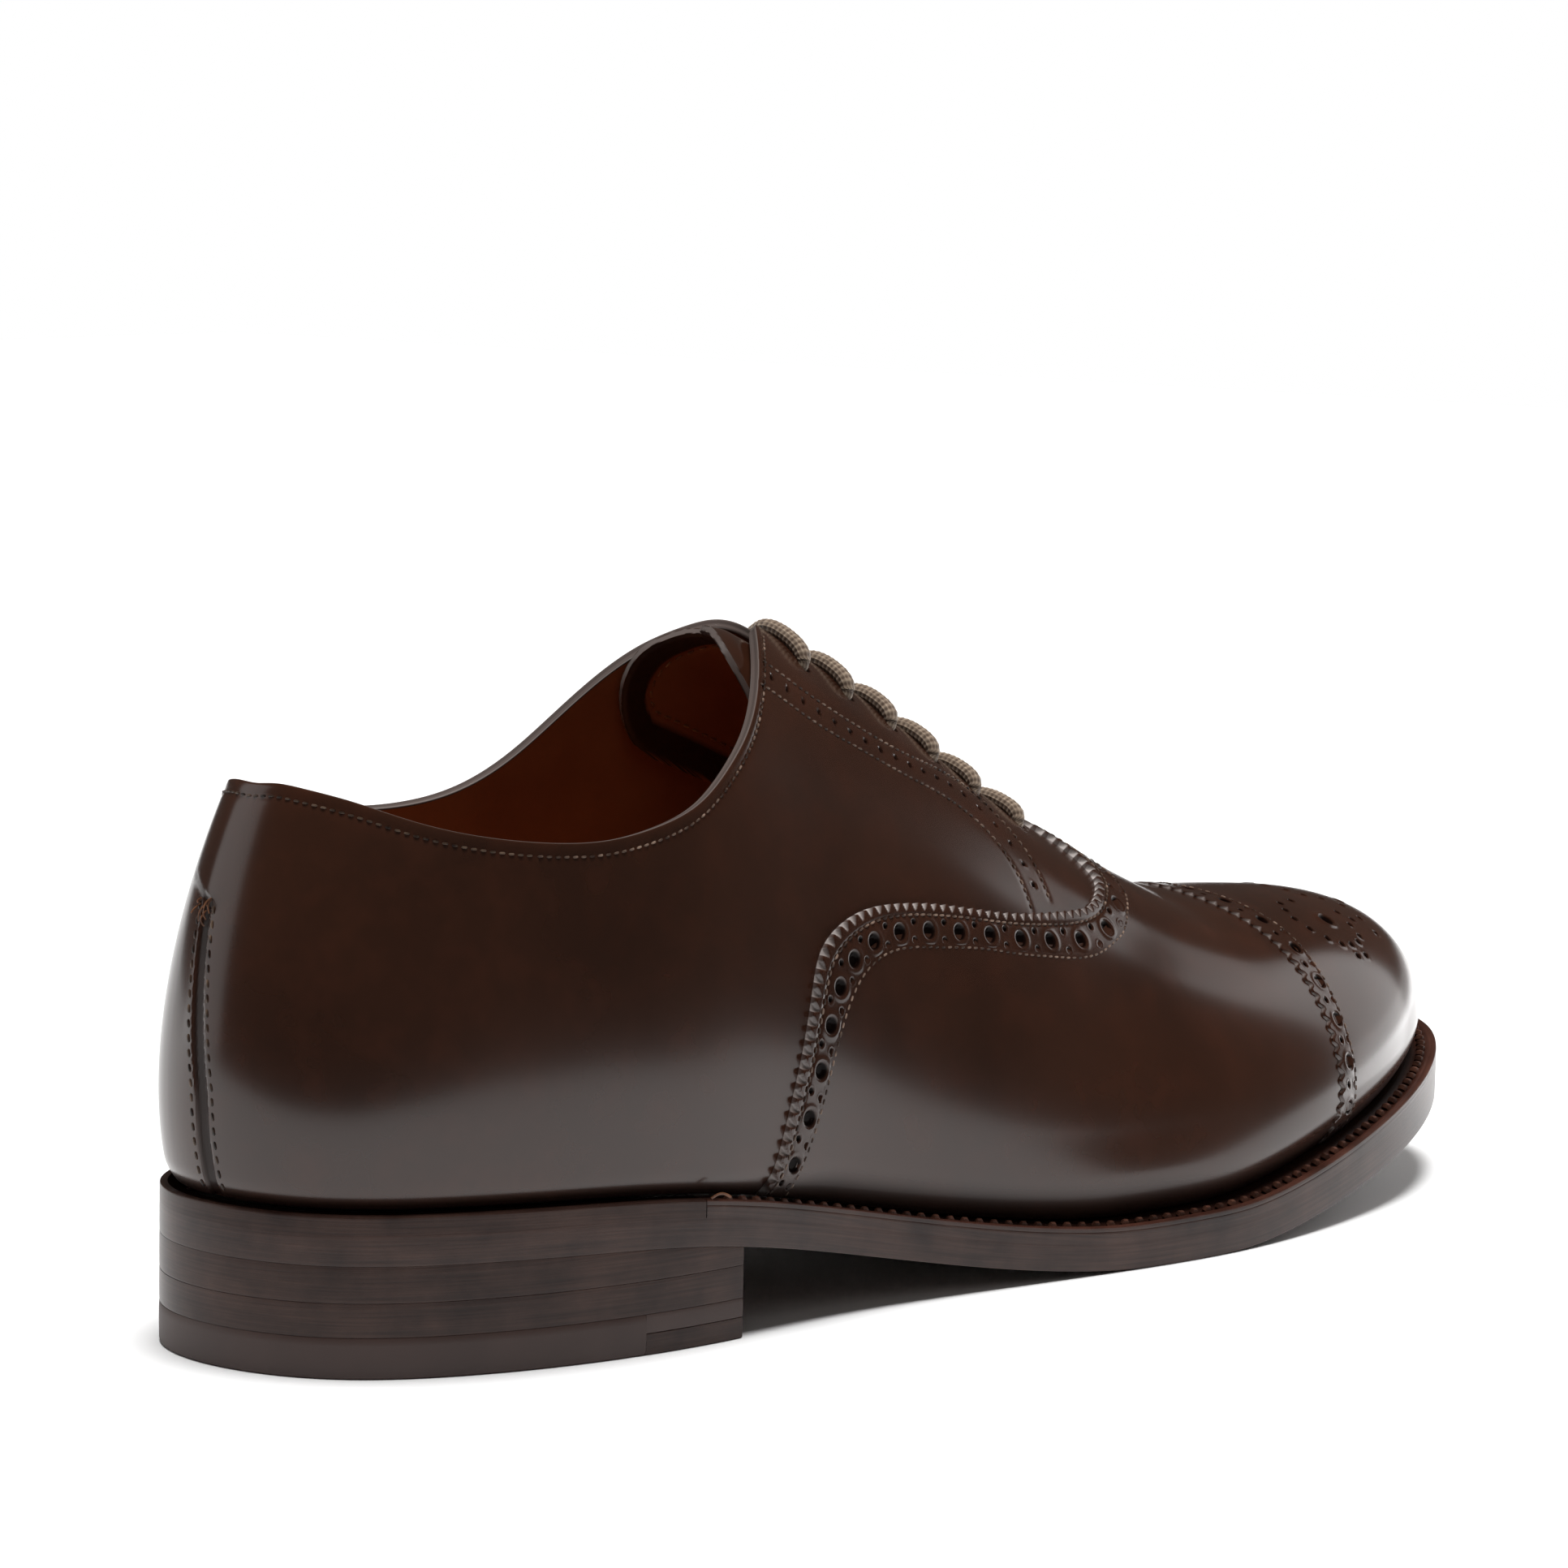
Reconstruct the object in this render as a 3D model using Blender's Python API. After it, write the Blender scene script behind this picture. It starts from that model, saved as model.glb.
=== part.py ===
"""A right-foot cap-toe brogue oxford, made piece by piece on the sections of its last.

Metres, +X to the toe, +Y to the inner side of the foot, +Z up, floor at z = 0. The tables start at the
back of the heel, and every point is moved by ORIGIN at the end, so the origin is under the middle of
the shoe.

The last is a surface of two parameters. `turn` runs once round the foot: 0 at the back of the heel, 1 at
the tip of the toe, back to 2 at the heel, the outer side first. `up` runs from the feather line, where
the upper meets the welt (0), to the ridge over the foot (1).
"""
import bmesh
import bpy
import numpy as np

MM = 0.001

# Driving sizes
SOLE_LENGTH = 304 * MM
BALL_WIDTH = 98.5 * MM      # outsole across the ball
INSTEP_HEIGHT = 115.5 * MM  # top of the facings over the floor
HEEL_HEIGHT = 18.9 * MM     # lifts and top piece under the outsole, at the back
ORIGIN = (152.1 * MM, 0.0, 0.0)

# Thicknesses and clearances
WALL = 2.2 * MM
GAP = 0.3 * MM
OVERLAY_GAP = 0.65 * MM
VAMP_THICK = 0.6 * MM
CAP_THICK = 1.0 * MM
TONGUE_GAP = 0.9 * MM
TONGUE_THICK = 1.8 * MM
INSOLE_THICK = 3 * MM
INSOLE_INSET = WALL + 0.6 * MM
WELT_THICK = 3.2 * MM
WELT_GRIP = 9 * MM          # how far the welt reaches in under the upper
TOP_PIECE_THICK = 7 * MM
TIP_THICK = 3.7 * MM
LIFT_THICK = 5.4 * MM
LACE_RADIUS = 1.5 * MM
LACE_LIFT = LACE_RADIUS + 0.5 * MM
WELD = 0.002 * MM           # points closer than this are one point
TINY = 1e-9
CREASE_ANGLE = 0.6          # radians; flatter edges are shaded smooth

# Places along the foot
BREAST = 83 * MM            # front face of the heel, from its back
TIP_START = 62 * MM         # back end of the leather tip in the top piece
HEEL_STATIONS = 11          # cross lines of the heel from its back to its breast
HEEL_TURNS = 0.4            # a turn that lies in front of the breast
WELT_END = 0.27             # turn where the welt stops and the heel rand takes over
CAP_LINE = 0.785
WING_START = 0.318
WING_TURN = 0.60            # turn where the wing seam curls up to the throat
THROAT_END = 0.682
FACING_TOP = 0.413

# Ribs of the last. along: % of SOLE_LENGTH, side and belly: % of BALL_WIDTH, rise, shoulder and
# drop: shares of the rib's height and reach, welt: mm that the sole stands out past the feather line.
RIB_COLUMNS = ("outer_along", "outer_side", "inner_along", "inner_side", "ridge_along",
               "outer_belly", "inner_belly", "rise", "shoulder", "drop", "welt")
RIBS = (
    (0.9, 0.5, 0.9, 0.5, 18.1, 10.2, 10.2, 0.33, 0.71, 0.02, 1.6),       # back of the heel
    (3.1, -17.3, 2.2, 17.8, 20.1, 10.2, 10.2, 0.33, 0.65, 0.02, 1.6),    # heel round
    (9.9, -32.0, 9.9, 31.0, 21.4, 10.2, 10.2, 0.33, 0.71, 0.02, 1.7),    # heel side
    (25.0, -40.6, 25.0, 31.5, 28.3, 7.1, 9.1, 0.37, 0.72, 0.02, 2.0),    # heel breast
    (36.2, -38.8, 36.8, 25.9, 36.2, 6.1, 11.2, 0.40, 0.62, 0.02, 2.8),   # waist
    (47.7, -40.6, 48.7, 27.4, 47.0, 6.1, 9.1, 0.40, 0.50, 0.0, 4.0),     # shank
    (57.6, -43.7, 59.2, 37.6, 56.9, 6.1, 6.1, 0.42, 0.46, 0.0, 5.0),     # joint
    (66.4, -44.7, 69.4, 44.2, 66.4, 6.1, 5.1, 0.50, 0.50, 0.0, 5.4),     # ball
    (80.6, -37.2, 82.6, 40.6, 75.7, 5.1, 4.6, 0.60, 0.55, 0.0, 5.6),     # toe side
    (91.1, -22.9, 91.8, 28.9, 81.2, 4.1, 4.1, 0.67, 0.58, 0.0, 5.8),     # toe round
    (98.0, 3.6, 98.0, 3.6, 83.9, 3.9, 3.9, 0.71, 0.60, 0.0, 5.8),        # toe tip
)
# Ridge over the foot; behind the facings it is the cone of the last, above the collar.
# along: % of SOLE_LENGTH, height: % of INSTEP_HEIGHT, side: % of BALL_WIDTH.
RIDGE = (
    (9.9, 116.0, 0.0),
    (23.0, 119.5, 0.0),
    (32.9, 110.0, 0.0),
    (40.0, 100.0, 0.0),
    (49.3, 85.7, 0.0),
    (57.9, 71.0, 0.3),
    (65.8, 59.1, 1.0),
    (70.7, 53.5, 1.8),
    (75.7, 50.0, 2.5),
    (80.9, 48.5, 3.5),
    (86.2, 47.3, 4.5),
)
# Tread of the outsole from the side. along: % of SOLE_LENGTH, height: % of HEEL_HEIGHT (below zero
# is pressed flat), edge: mm of outsole and welt together.
TREAD = (
    (0.0, 100.0, 8.4),
    (14.8, 98.4, 8.3),
    (25.0, 89.0, 8.1),
    (36.2, 55.6, 8.0),
    (47.7, 18.5, 8.0),
    (55.9, 1.1, 8.1),
    (61.2, -3.2, 8.2),
    (67.1, 1.6, 8.3),
    (74.0, 16.9, 8.6),
    (81.9, 40.2, 9.0),
    (88.5, 61.4, 9.3),
    (94.7, 78.8, 9.5),
    (100.0, 91.0, 9.7),
)
# Free edge of the upper on either side: collar, facing top, throat. turn, up.
TOPLINE = (
    (0.0, 0.500), (0.05, 0.489), (0.10, 0.465), (0.14, 0.445), (0.18, 0.434), (0.21, 0.432),
    (0.245, 0.444), (0.28, 0.478), (0.31, 0.535), (0.34, 0.615), (0.365, 0.715), (0.388, 0.830),
    (0.402, 0.900), (0.413, 0.945), (0.43, 0.962), (0.50, 0.966), (0.60, 0.972), (0.65, 0.980),
    (THROAT_END, 1.0),
)
# Wing seam, the back edge of the vamp, on either side. turn, up.
WING = (
    (WING_START, 0.030), (0.330, 0.105), (0.345, 0.188), (0.358, 0.270), (0.374, 0.348), (0.391, 0.382),
    (0.412, 0.408), (0.436, 0.430), (0.472, 0.457), (0.509, 0.482), (0.548, 0.514), (0.577, 0.546),
    (0.604, 0.591), (0.630, 0.662), (0.648, 0.742), (0.664, 0.850), (THROAT_END, 1.0),
)
# Columns of facets on each side, between the marks that pieces start and stop at.
COLUMN_MARKS = ((0.0, 12), (WING_START, 5), (FACING_TOP, 7), (WING_TURN, 7), (THROAT_END, 4), (CAP_LINE, 9),
                (1.0, 0))
UPPER_ROWS = 11
VAMP_ROWS = UPPER_ROWS
PLATE_ROWS = 4

# Lace bars: turn of the first pair of eyelets, step to the next pair, and how high they lie.
LACE_BARS = 6
FIRST_BAR = 0.429
BAR_STEP = 0.0355
EYELET_UP = 0.84
BAR_POINTS = 5

# Tongue: turn of its rounded top at the middle and at its sides, its lower end, and its half width.
TONGUE_TOP = 0.401
TONGUE_SHOULDER = 0.422
TONGUE_END = 0.70
TONGUE_HALF = 0.36
TONGUE_STEPS = (14, 10)


def spline(knots, values, period=None):
    """A curve through the rows with smooth bends: natural cubic, or closed when a period is given."""
    knots = np.asarray(knots, float)
    values = np.asarray(values, float).reshape(len(knots), -1)
    if period:
        knots = np.append(knots, knots[0] + period)
        values = np.vstack([values, values[:1]])
    count = len(knots)
    step = np.diff(knots)
    slope = np.diff(values, axis=0) / step[:, None]
    system = np.zeros((count, count))
    target = np.zeros((count, values.shape[1]))
    for row in range(1, count - 1):
        system[row, row - 1:row + 2] = step[row - 1], 2 * (step[row - 1] + step[row]), step[row]
        target[row] = 6 * (slope[row] - slope[row - 1])
    system[0, 0] = 1
    system[-1, -1] = 1
    if period:
        system[0, -1] = -1
        system[-1, [0, 1, -2, -1]] = 2 * step[0], step[0], step[-1], 2 * step[-1]
        target[-1] = 6 * (slope[0] - slope[-1])
    bend = np.linalg.solve(system, target)

    def at(place):
        place = np.asarray(place, float)
        if period:
            place = knots[0] + np.mod(place - knots[0], period)
        i = np.clip(np.searchsorted(knots, place, side="right") - 1, 0, count - 2)
        a = ((knots[i + 1] - place) / step[i])[..., None]
        b = ((place - knots[i]) / step[i])[..., None]
        bulge = ((a**3 - a) * bend[i] + (b**3 - b) * bend[i + 1]) * step[i][..., None]**2 / 6
        result = a * values[i] + b * values[i + 1] + bulge
        return result[..., 0] if result.shape[-1] == 1 else result

    return at


def rib_curves():
    """Smooth curves round the foot: feather x and y, ridge x, belly, rise, shoulder, drop and welt."""
    rib = dict(zip(RIB_COLUMNS, np.array(RIBS).T))
    share = []
    for side in ("outer", "inner"):
        x = rib[side + "_along"] * SOLE_LENGTH
        y = rib[side + "_side"] * BALL_WIDTH
        run = np.concatenate([[0.0], np.cumsum(np.hypot(np.diff(x), np.diff(y)))])
        share.append(run / run[-1])
    turn = (share[0] + share[1]) / 2

    def both(outer, inner, scale):
        return np.concatenate([rib[outer], rib[inner][-2:0:-1]]) * scale

    columns = [
        both("outer_along", "inner_along", SOLE_LENGTH / 100),
        both("outer_side", "inner_side", BALL_WIDTH / 100),
        both("ridge_along", "ridge_along", SOLE_LENGTH / 100),
        both("outer_belly", "inner_belly", BALL_WIDTH / 100),
        both("rise", "rise", 1),
        both("shoulder", "shoulder", 1),
        both("drop", "drop", 1),
        both("welt", "welt", MM),
    ]
    return spline(np.concatenate([turn, 2 - turn[-2:0:-1]]), np.stack(columns, -1), 2.0)


rib_at = rib_curves()
ridge_table = np.array(RIDGE) / 100 * (SOLE_LENGTH, INSTEP_HEIGHT, BALL_WIDTH)
ridge_at = spline(ridge_table[:, 0], ridge_table[:, 1:])
tread_table = np.array(TREAD) * (SOLE_LENGTH / 100, HEEL_HEIGHT / 100, MM)
tread_at = spline(tread_table[:, 0], tread_table[:, 1:])


def tread(x):
    """Height of the outsole's underside, pressed flat where it meets the floor."""
    return np.maximum(tread_at(x)[..., 0], 0.0)


def seat(x):
    """Height of the welt's upper face."""
    return tread(x) + tread_at(x)[..., 1]


def outsole_top(x):
    """Height of the outsole's upper face, a clearance under the welt."""
    return seat(x) - WELT_THICK - GAP


def feather(turn, out=0.0):
    """Plan of the feather line, moved outwards by `out`."""
    nudge = 1e-4
    here = rib_at(turn)
    way = rib_at(turn + nudge)[..., :2] - rib_at(turn - nudge)[..., :2]
    way = way / np.linalg.norm(way, axis=-1)[..., None]
    outward = np.stack([way[..., 1], -way[..., 0]], -1)
    return here[..., :2] + outward * np.asarray(out)[..., None]


def sole_edge(turn, inset=0.0):
    """Plan of the sole: the feather line moved out by the welt."""
    return feather(turn, rib_at(turn)[..., 7] - inset)


def last_surface(turn, up):
    """A point of the last: each rib is a cubic curve from the feather line to the ridge."""
    turn, up = np.broadcast_arrays(np.asarray(turn, float), np.asarray(up, float))
    _, _, ridge_x, belly, rise, shoulder, drop, _ = np.moveaxis(rib_at(turn), -1, 0)
    foot_xy = feather(turn)
    foot = np.concatenate([foot_xy, (seat(foot_xy[..., 0]) + GAP)[..., None]], -1)
    ridge_z, ridge_y = np.moveaxis(ridge_at(ridge_x), -1, 0)
    nudge = 0.1 * MM
    slope = (ridge_at(ridge_x + nudge)[..., 0] - ridge_at(ridge_x - nudge)[..., 0]) / (2 * nudge)
    top = np.stack([ridge_x, ridge_y, ridge_z], -1)
    out = foot[..., :2] - top[..., :2]
    reach = np.linalg.norm(out, axis=-1)
    out = out / reach[..., None]
    height = top[..., 2] - foot[..., 2]
    low = foot + np.stack([out[..., 0] * belly, out[..., 1] * belly, rise * height], -1)
    arm = shoulder * reach
    fall = arm * out[..., 0] * slope - drop * height
    high = top + np.stack([out[..., 0] * arm, out[..., 1] * arm, fall], -1)
    s = up[..., None]
    return (1 - s)**3 * foot + 3 * (1 - s)**2 * s * low + 3 * (1 - s) * s**2 * high + s**3 * top


def last_normal(turn, up):
    """Outward direction of the last, the mean of both sides where they meet on the ridge."""
    turn, up = np.broadcast_arrays(np.asarray(turn, float), np.asarray(up, float))

    def one_side(around):
        nudge = 1e-4
        level = np.clip(up, nudge, 1 - 10 * nudge)
        across = last_surface(around, level + nudge) - last_surface(around, level - nudge)
        along = last_surface(around + nudge, level) - last_surface(around - nudge, level)
        normal = np.cross(along, across)
        return normal / np.linalg.norm(normal, axis=-1)[..., None]

    normal = one_side(turn)
    paired = (normal + one_side(2 - turn)) / 2
    return np.where((up > 1 - TINY)[..., None], paired, normal)


def skin(turn, up, out):
    """A point that lies `out` away from the last."""
    return last_surface(turn, up) + last_normal(turn, up) * out


def side_columns(start=0.0, stop=1.0):
    """The facet columns of one side from one mark to another."""
    turns = [np.linspace(a, b, count, endpoint=False)
             for (a, count), (b, _) in zip(COLUMN_MARKS, COLUMN_MARKS[1:])]
    turns = np.append(np.concatenate(turns), 1.0)
    return turns[(turns > start - TINY) & (turns < stop + TINY)]


def mirrored(turns):
    """Columns up one side and back down the other."""
    shared = 1 if turns[-1] == 1.0 else 0
    return np.concatenate([turns, 2 - turns[::-1][shared:]])


def fold_turn(turn):
    """Turn of either side counted from the heel."""
    return np.where(turn > 1, 2 - turn, turn)


def material(name, colour, roughness):
    """A plain finish for one piece."""
    mat = bpy.data.materials.new(name)
    mat.use_nodes = True
    shader = mat.node_tree.nodes["Principled BSDF"]
    shader.inputs["Base Color"].default_value = (*colour, 1)
    shader.inputs["Roughness"].default_value = roughness
    return mat


def add_piece(name, points, faces, mat):
    """One closed solid: coincident points are joined and its faces turned outwards."""
    mesh = bpy.data.meshes.new(name)
    mesh.from_pydata(np.asarray(points) - ORIGIN, [], faces)
    solid = bmesh.new()
    solid.from_mesh(mesh)
    bmesh.ops.remove_doubles(solid, verts=solid.verts, dist=WELD)
    bmesh.ops.recalc_face_normals(solid, faces=solid.faces)
    solid.to_mesh(mesh)
    solid.free()
    mesh.materials.append(mat)
    mesh.shade_smooth()
    mesh.set_sharp_from_angle(angle=CREASE_ANGLE)
    bpy.context.collection.objects.link(bpy.data.objects.new(name, mesh))


def wall_faces(rows, columns, closed_row=None, ring=False):
    """Faces of a wall between two grids of points, the outer grid first, with rims on its free edges.

    closed_row marks the columns whose last row is joined to the other side, so it has no rim there.
    ring joins the last column to the first.
    """
    inner = rows * columns
    faces = []
    spans = columns if ring else columns - 1
    for c in range(spans):
        d = (c + 1) % columns
        for r in range(rows - 1):
            quad = (r * columns + c, r * columns + d, (r + 1) * columns + d, (r + 1) * columns + c)
            faces.append(quad)
            faces.append(tuple(inner + q for q in (quad[0], *quad[:0:-1])))
        faces.append((d, c, inner + c, inner + d))
        if closed_row is None or not (closed_row[c] and closed_row[d]):
            top = (rows - 1) * columns
            faces.append((top + c, top + d, inner + top + d, inner + top + c))
    if not ring:
        for c, turned in ((0, 1), (columns - 1, -1)):
            for r in range(rows - 1):
                a, b = r * columns + c, (r + 1) * columns + c
                faces.append((a, b, inner + b, inner + a)[::turned])
    return faces


def wall(turns, foot_up, top_up, rows, outer, inner):
    """Points of a wall on the last: rows from foot_up to top_up, its two faces at outer and inner."""
    share = np.linspace(0, 1, rows)[:, None]
    up = foot_up + (top_up - foot_up) * share
    turn = np.broadcast_to(turns, up.shape)
    faces = [skin(turn, up, outer), skin(turn, up, inner)]
    if foot_up == 0:
        for face in faces:
            face[0, :, 2] = seat(face[0, :, 0]) + GAP
    return np.concatenate([f.reshape(-1, 3) for f in faces])


def make_upper(mat):
    """The quarters as one hollow wall, open at the collar, the throat and underneath."""
    turns = mirrored(side_columns())[:-1]
    line = spline(*zip(*TOPLINE))
    place = fold_turn(turns)
    top = np.where(place < THROAT_END - TINY, np.minimum(line(place), 1), 1.0)
    points = wall(turns, 0.0, top, UPPER_ROWS, 0.0, -WALL)
    add_piece("upper", points, wall_faces(UPPER_ROWS, len(turns), top == 1.0, ring=True), mat)


def make_toe_cap(mat):
    """The overlay over the toe, in front of the cap line, on the same facets as the upper."""
    turns = mirrored(side_columns(CAP_LINE))
    top = np.ones(len(turns))
    points = wall(turns, 0.0, top, UPPER_ROWS, OVERLAY_GAP + CAP_THICK, OVERLAY_GAP)
    add_piece("toe_cap", points, wall_faces(UPPER_ROWS, len(turns), top == 1.0), mat)


def make_vamp(mat):
    """The overlay between the wing seam and the toe cap, joined over the ridge."""
    turns = side_columns(WING_START, CAP_LINE)
    turns[-1] -= 2 * GAP / SOLE_LENGTH
    line = spline(*zip(*WING))
    top = np.where(turns < THROAT_END - TINY, np.minimum(line(turns), 1), 1.0)
    halves = [wall(t, 0.0, top, VAMP_ROWS, OVERLAY_GAP + VAMP_THICK, OVERLAY_GAP) for t in (turns, 2 - turns)]
    faces = wall_faces(VAMP_ROWS, len(turns), top == 1.0)
    mirror = [tuple(i + len(halves[0]) for i in f[::-1]) for f in faces]
    add_piece("vamp", np.concatenate(halves), faces + mirror, mat)


def make_tongue(mat):
    """A curved sheet under the facings with a rounded top, on the last inside the upper's wall."""
    down, across = TONGUE_STEPS
    t = np.linspace(-1, 1, across + 1)[None, :]
    s = np.linspace(0, 1, down + 1)[:, None]
    start = TONGUE_TOP + (TONGUE_SHOULDER - TONGUE_TOP) * t**4
    side = start + (TONGUE_END - start) * s
    turn = np.where(t > 0, 2 - side, side)
    up = np.broadcast_to(1 - np.abs(t) * TONGUE_HALF, turn.shape)
    depth = WALL + TONGUE_GAP
    faces = [skin(turn, up, -depth), skin(turn, up, -depth - TONGUE_THICK)]
    points = np.concatenate([f.reshape(-1, 3) for f in faces])
    add_piece("tongue", points, wall_faces(down + 1, across + 1), mat)


def make_lace_bars(mat):
    """Round cord bars across the facings from eyelet to eyelet, a clearance over the leather."""
    rise = np.concatenate([np.linspace(EYELET_UP, 1, BAR_POINTS), np.linspace(1, EYELET_UP, BAR_POINTS)[1:]])
    for bar in range(LACE_BARS):
        turn = FIRST_BAR + bar * BAR_STEP
        side = np.where(np.arange(len(rise)) < BAR_POINTS, turn, 2 - turn)
        path = skin(side, rise, LACE_LIFT) - ORIGIN
        name = f"lace_bar_{bar + 1}"
        curve = bpy.data.curves.new(name, "CURVE")
        curve.dimensions = "3D"
        curve.bevel_depth = LACE_RADIUS
        curve.bevel_resolution = 2
        curve.use_fill_caps = True
        cord = curve.splines.new("POLY")
        cord.points.add(len(path) - 1)
        cord.points.foreach_set("co", np.column_stack([path, np.ones(len(path))]).ravel())
        curve.materials.append(mat)
        bpy.context.collection.objects.link(bpy.data.objects.new(name, curve))


def plate(name, outer_xy, inner_xy, low, high, mat):
    """A solid between two heights, its plan spanned from the outer edge to the inner one."""
    share = np.linspace(0, 1, PLATE_ROWS)[:, None, None]
    plan = outer_xy + (inner_xy - outer_xy) * share
    levels = []
    for height in (high, low):
        z = height(plan[..., 0]) if callable(height) else np.broadcast_to(height, plan.shape[:2])
        levels.append(np.concatenate([plan, z[..., None]], -1).reshape(-1, 3))
    add_piece(name, np.concatenate(levels), wall_faces(PLATE_ROWS, len(outer_xy)), mat)


def make_outsole(mat):
    """The whole tread from heel to toe, flat under the ball, rising over the arch and to the toe."""
    turns = side_columns()
    plate("outsole", sole_edge(turns), sole_edge(2 - turns), tread, outsole_top, mat)


def make_insole(mat):
    """The sock that the foot stands on, inside the upper's wall."""
    turns = side_columns()
    outer = feather(turns, -INSOLE_INSET)
    inner = feather(2 - turns, -INSOLE_INSET)
    plate("insole", outer, inner, lambda x: seat(x) + GAP, lambda x: seat(x) + GAP + INSOLE_THICK, mat)


def rail(name, turns, mat):
    """A flat strip under the upper's edge, from the sole's edge in to its grip."""
    outer = sole_edge(turns)
    inner = feather(turns, -WELT_GRIP)
    corners = []
    for xy in (outer, inner):
        for drop in (0.0, WELT_THICK):
            corners.append(np.column_stack([xy, seat(xy[:, 0]) - drop]))
    outer_top, outer_low, inner_top, inner_low = corners
    points = np.concatenate([outer_top, inner_top, outer_low, inner_low])
    add_piece(name, points, wall_faces(2, len(turns)), mat)


def make_welt(mat):
    """The stitched welt round waist, forefoot and toe, and the narrower rand round the heel."""
    columns = side_columns()
    split = GAP / SOLE_LENGTH
    clear = 0.01
    front = np.concatenate([[WELT_END + split], columns[columns > WELT_END + clear]])
    back = np.concatenate([[WELT_END - split], columns[columns < WELT_END - clear][::-1]])
    rail("welt", mirrored(front), mat)
    rail("heel_rand", np.concatenate([back[:-1], -back[::-1]]), mat)


def heel_plan(stations):
    """Outer and inner edges of the heel at the given distances from its back."""
    turns = np.linspace(0, HEEL_TURNS, 400)
    edges = []
    for side in (turns, -turns):
        xy = sole_edge(side)
        at = np.interp(stations, xy[:, 0], turns)
        edges.append(sole_edge(at * np.sign(side[1])))
    edges[1][0] = edges[0][0]
    return edges


def make_heel(lift_mat, rubber_mat):
    """Two leather lifts over a rubber top piece with a leather tip let in at its front."""
    back = sole_edge(np.array(0.0))[0]
    stations = back + (BREAST - back) * np.sin(np.linspace(0, np.pi / 2, HEEL_STATIONS))**2
    outer, inner = heel_plan(stations)
    base = TOP_PIECE_THICK + GAP
    lift_top = base + LIFT_THICK
    plate("heel_lift_lower", outer, inner, base, lift_top, lift_mat)
    plate("heel_lift_upper", outer, inner, lift_top + GAP, lambda x: tread(x) - GAP, lift_mat)
    step = 0.02 * MM
    rear = stations[stations < TIP_START - TIP_THICK]
    stations = np.concatenate([rear, [TIP_START, TIP_START + step, BREAST]])
    low = np.where(stations > TIP_START, TIP_THICK + GAP, 0.0)
    outer, inner = heel_plan(stations)
    plate("heel_top_rubber", outer, inner, low, TOP_PIECE_THICK, rubber_mat)
    outer, inner = heel_plan(np.array([back, TIP_START + GAP, BREAST]))
    plate("heel_tip", outer[1:], inner[1:], 0.0, TIP_THICK, lift_mat)


def main():
    for old in list(bpy.data.objects):
        bpy.data.objects.remove(old)
    calf = material("calf_dark_brown", (0.024, 0.011, 0.008), 0.25)
    lining = material("lining_leather_tan", (0.13, 0.045, 0.02), 0.55)
    edge = material("sole_leather_edge", (0.065, 0.043, 0.038), 0.45)
    rubber = material("heel_rubber", (0.045, 0.031, 0.028), 0.6)
    cotton = material("lace_waxed_cotton", (0.16, 0.11, 0.075), 0.6)
    make_upper(calf)
    make_vamp(calf)
    make_toe_cap(calf)
    make_tongue(calf)
    make_lace_bars(cotton)
    make_insole(lining)
    make_welt(edge)
    make_outsole(edge)
    make_heel(edge, rubber)


main()
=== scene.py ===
"""Looks of a right-foot cap-toe brogue oxford in dark brown polished calf.

Every leather piece is a sheet on one last. The last is a surface of two parameters: `turn` runs round the
foot (0 at the back of the heel, 1 at the tip of the toe, back to 2 at the heel, the outer side first; minus
values count round the inner side) and `up` runs from the welt (0) to the ridge over the foot (1). `out` is
a distance off the last. +X is to the toe, +Y to the inner side, +Z up; the floor is at z = 0.
"""

import bmesh
import bpy
import numpy as np
from mathutils import Matrix, Vector


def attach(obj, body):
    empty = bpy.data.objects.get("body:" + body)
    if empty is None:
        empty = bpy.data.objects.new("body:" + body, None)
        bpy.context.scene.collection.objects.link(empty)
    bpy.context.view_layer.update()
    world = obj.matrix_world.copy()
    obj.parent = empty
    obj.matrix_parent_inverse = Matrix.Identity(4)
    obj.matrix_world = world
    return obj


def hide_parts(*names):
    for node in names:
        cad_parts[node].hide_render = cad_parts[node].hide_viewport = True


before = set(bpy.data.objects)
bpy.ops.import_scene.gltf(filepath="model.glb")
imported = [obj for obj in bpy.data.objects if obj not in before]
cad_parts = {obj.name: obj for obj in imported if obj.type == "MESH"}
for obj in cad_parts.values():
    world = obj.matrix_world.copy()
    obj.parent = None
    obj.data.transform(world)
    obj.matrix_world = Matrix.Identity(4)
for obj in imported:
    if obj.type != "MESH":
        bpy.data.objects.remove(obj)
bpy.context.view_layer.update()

MM = 0.001

# Driving sizes, as in the solids
SOLE_LENGTH = 304 * MM
BALL_WIDTH = 98.5 * MM
INSTEP_HEIGHT = 115.5 * MM
HEEL_HEIGHT = 18.9 * MM
ORIGIN = np.array((152.1 * MM, 0.0, 0.0))
WALL = 2.2 * MM
GAP = 0.3 * MM
WELT_THICK = 3.2 * MM
TOP_PIECE_THICK = 7 * MM
TIP_THICK = 3.7 * MM
LIFT_THICK = 5.4 * MM
INSOLE_THICK = 3 * MM
BREAST = 83 * MM
TIP_START = 62 * MM
WELT_END = 0.27

# Softness of the bend where the tread meets the floor; the solid has a slight corner there
FLAT_SPOT_BEND = 0.6 * MM

# Leather over leather: the vamp lies on the quarters, the toe cap on the vamp
VAMP_OUT = 1.25 * MM
CAP_OUT = 1.75 * MM

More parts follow.
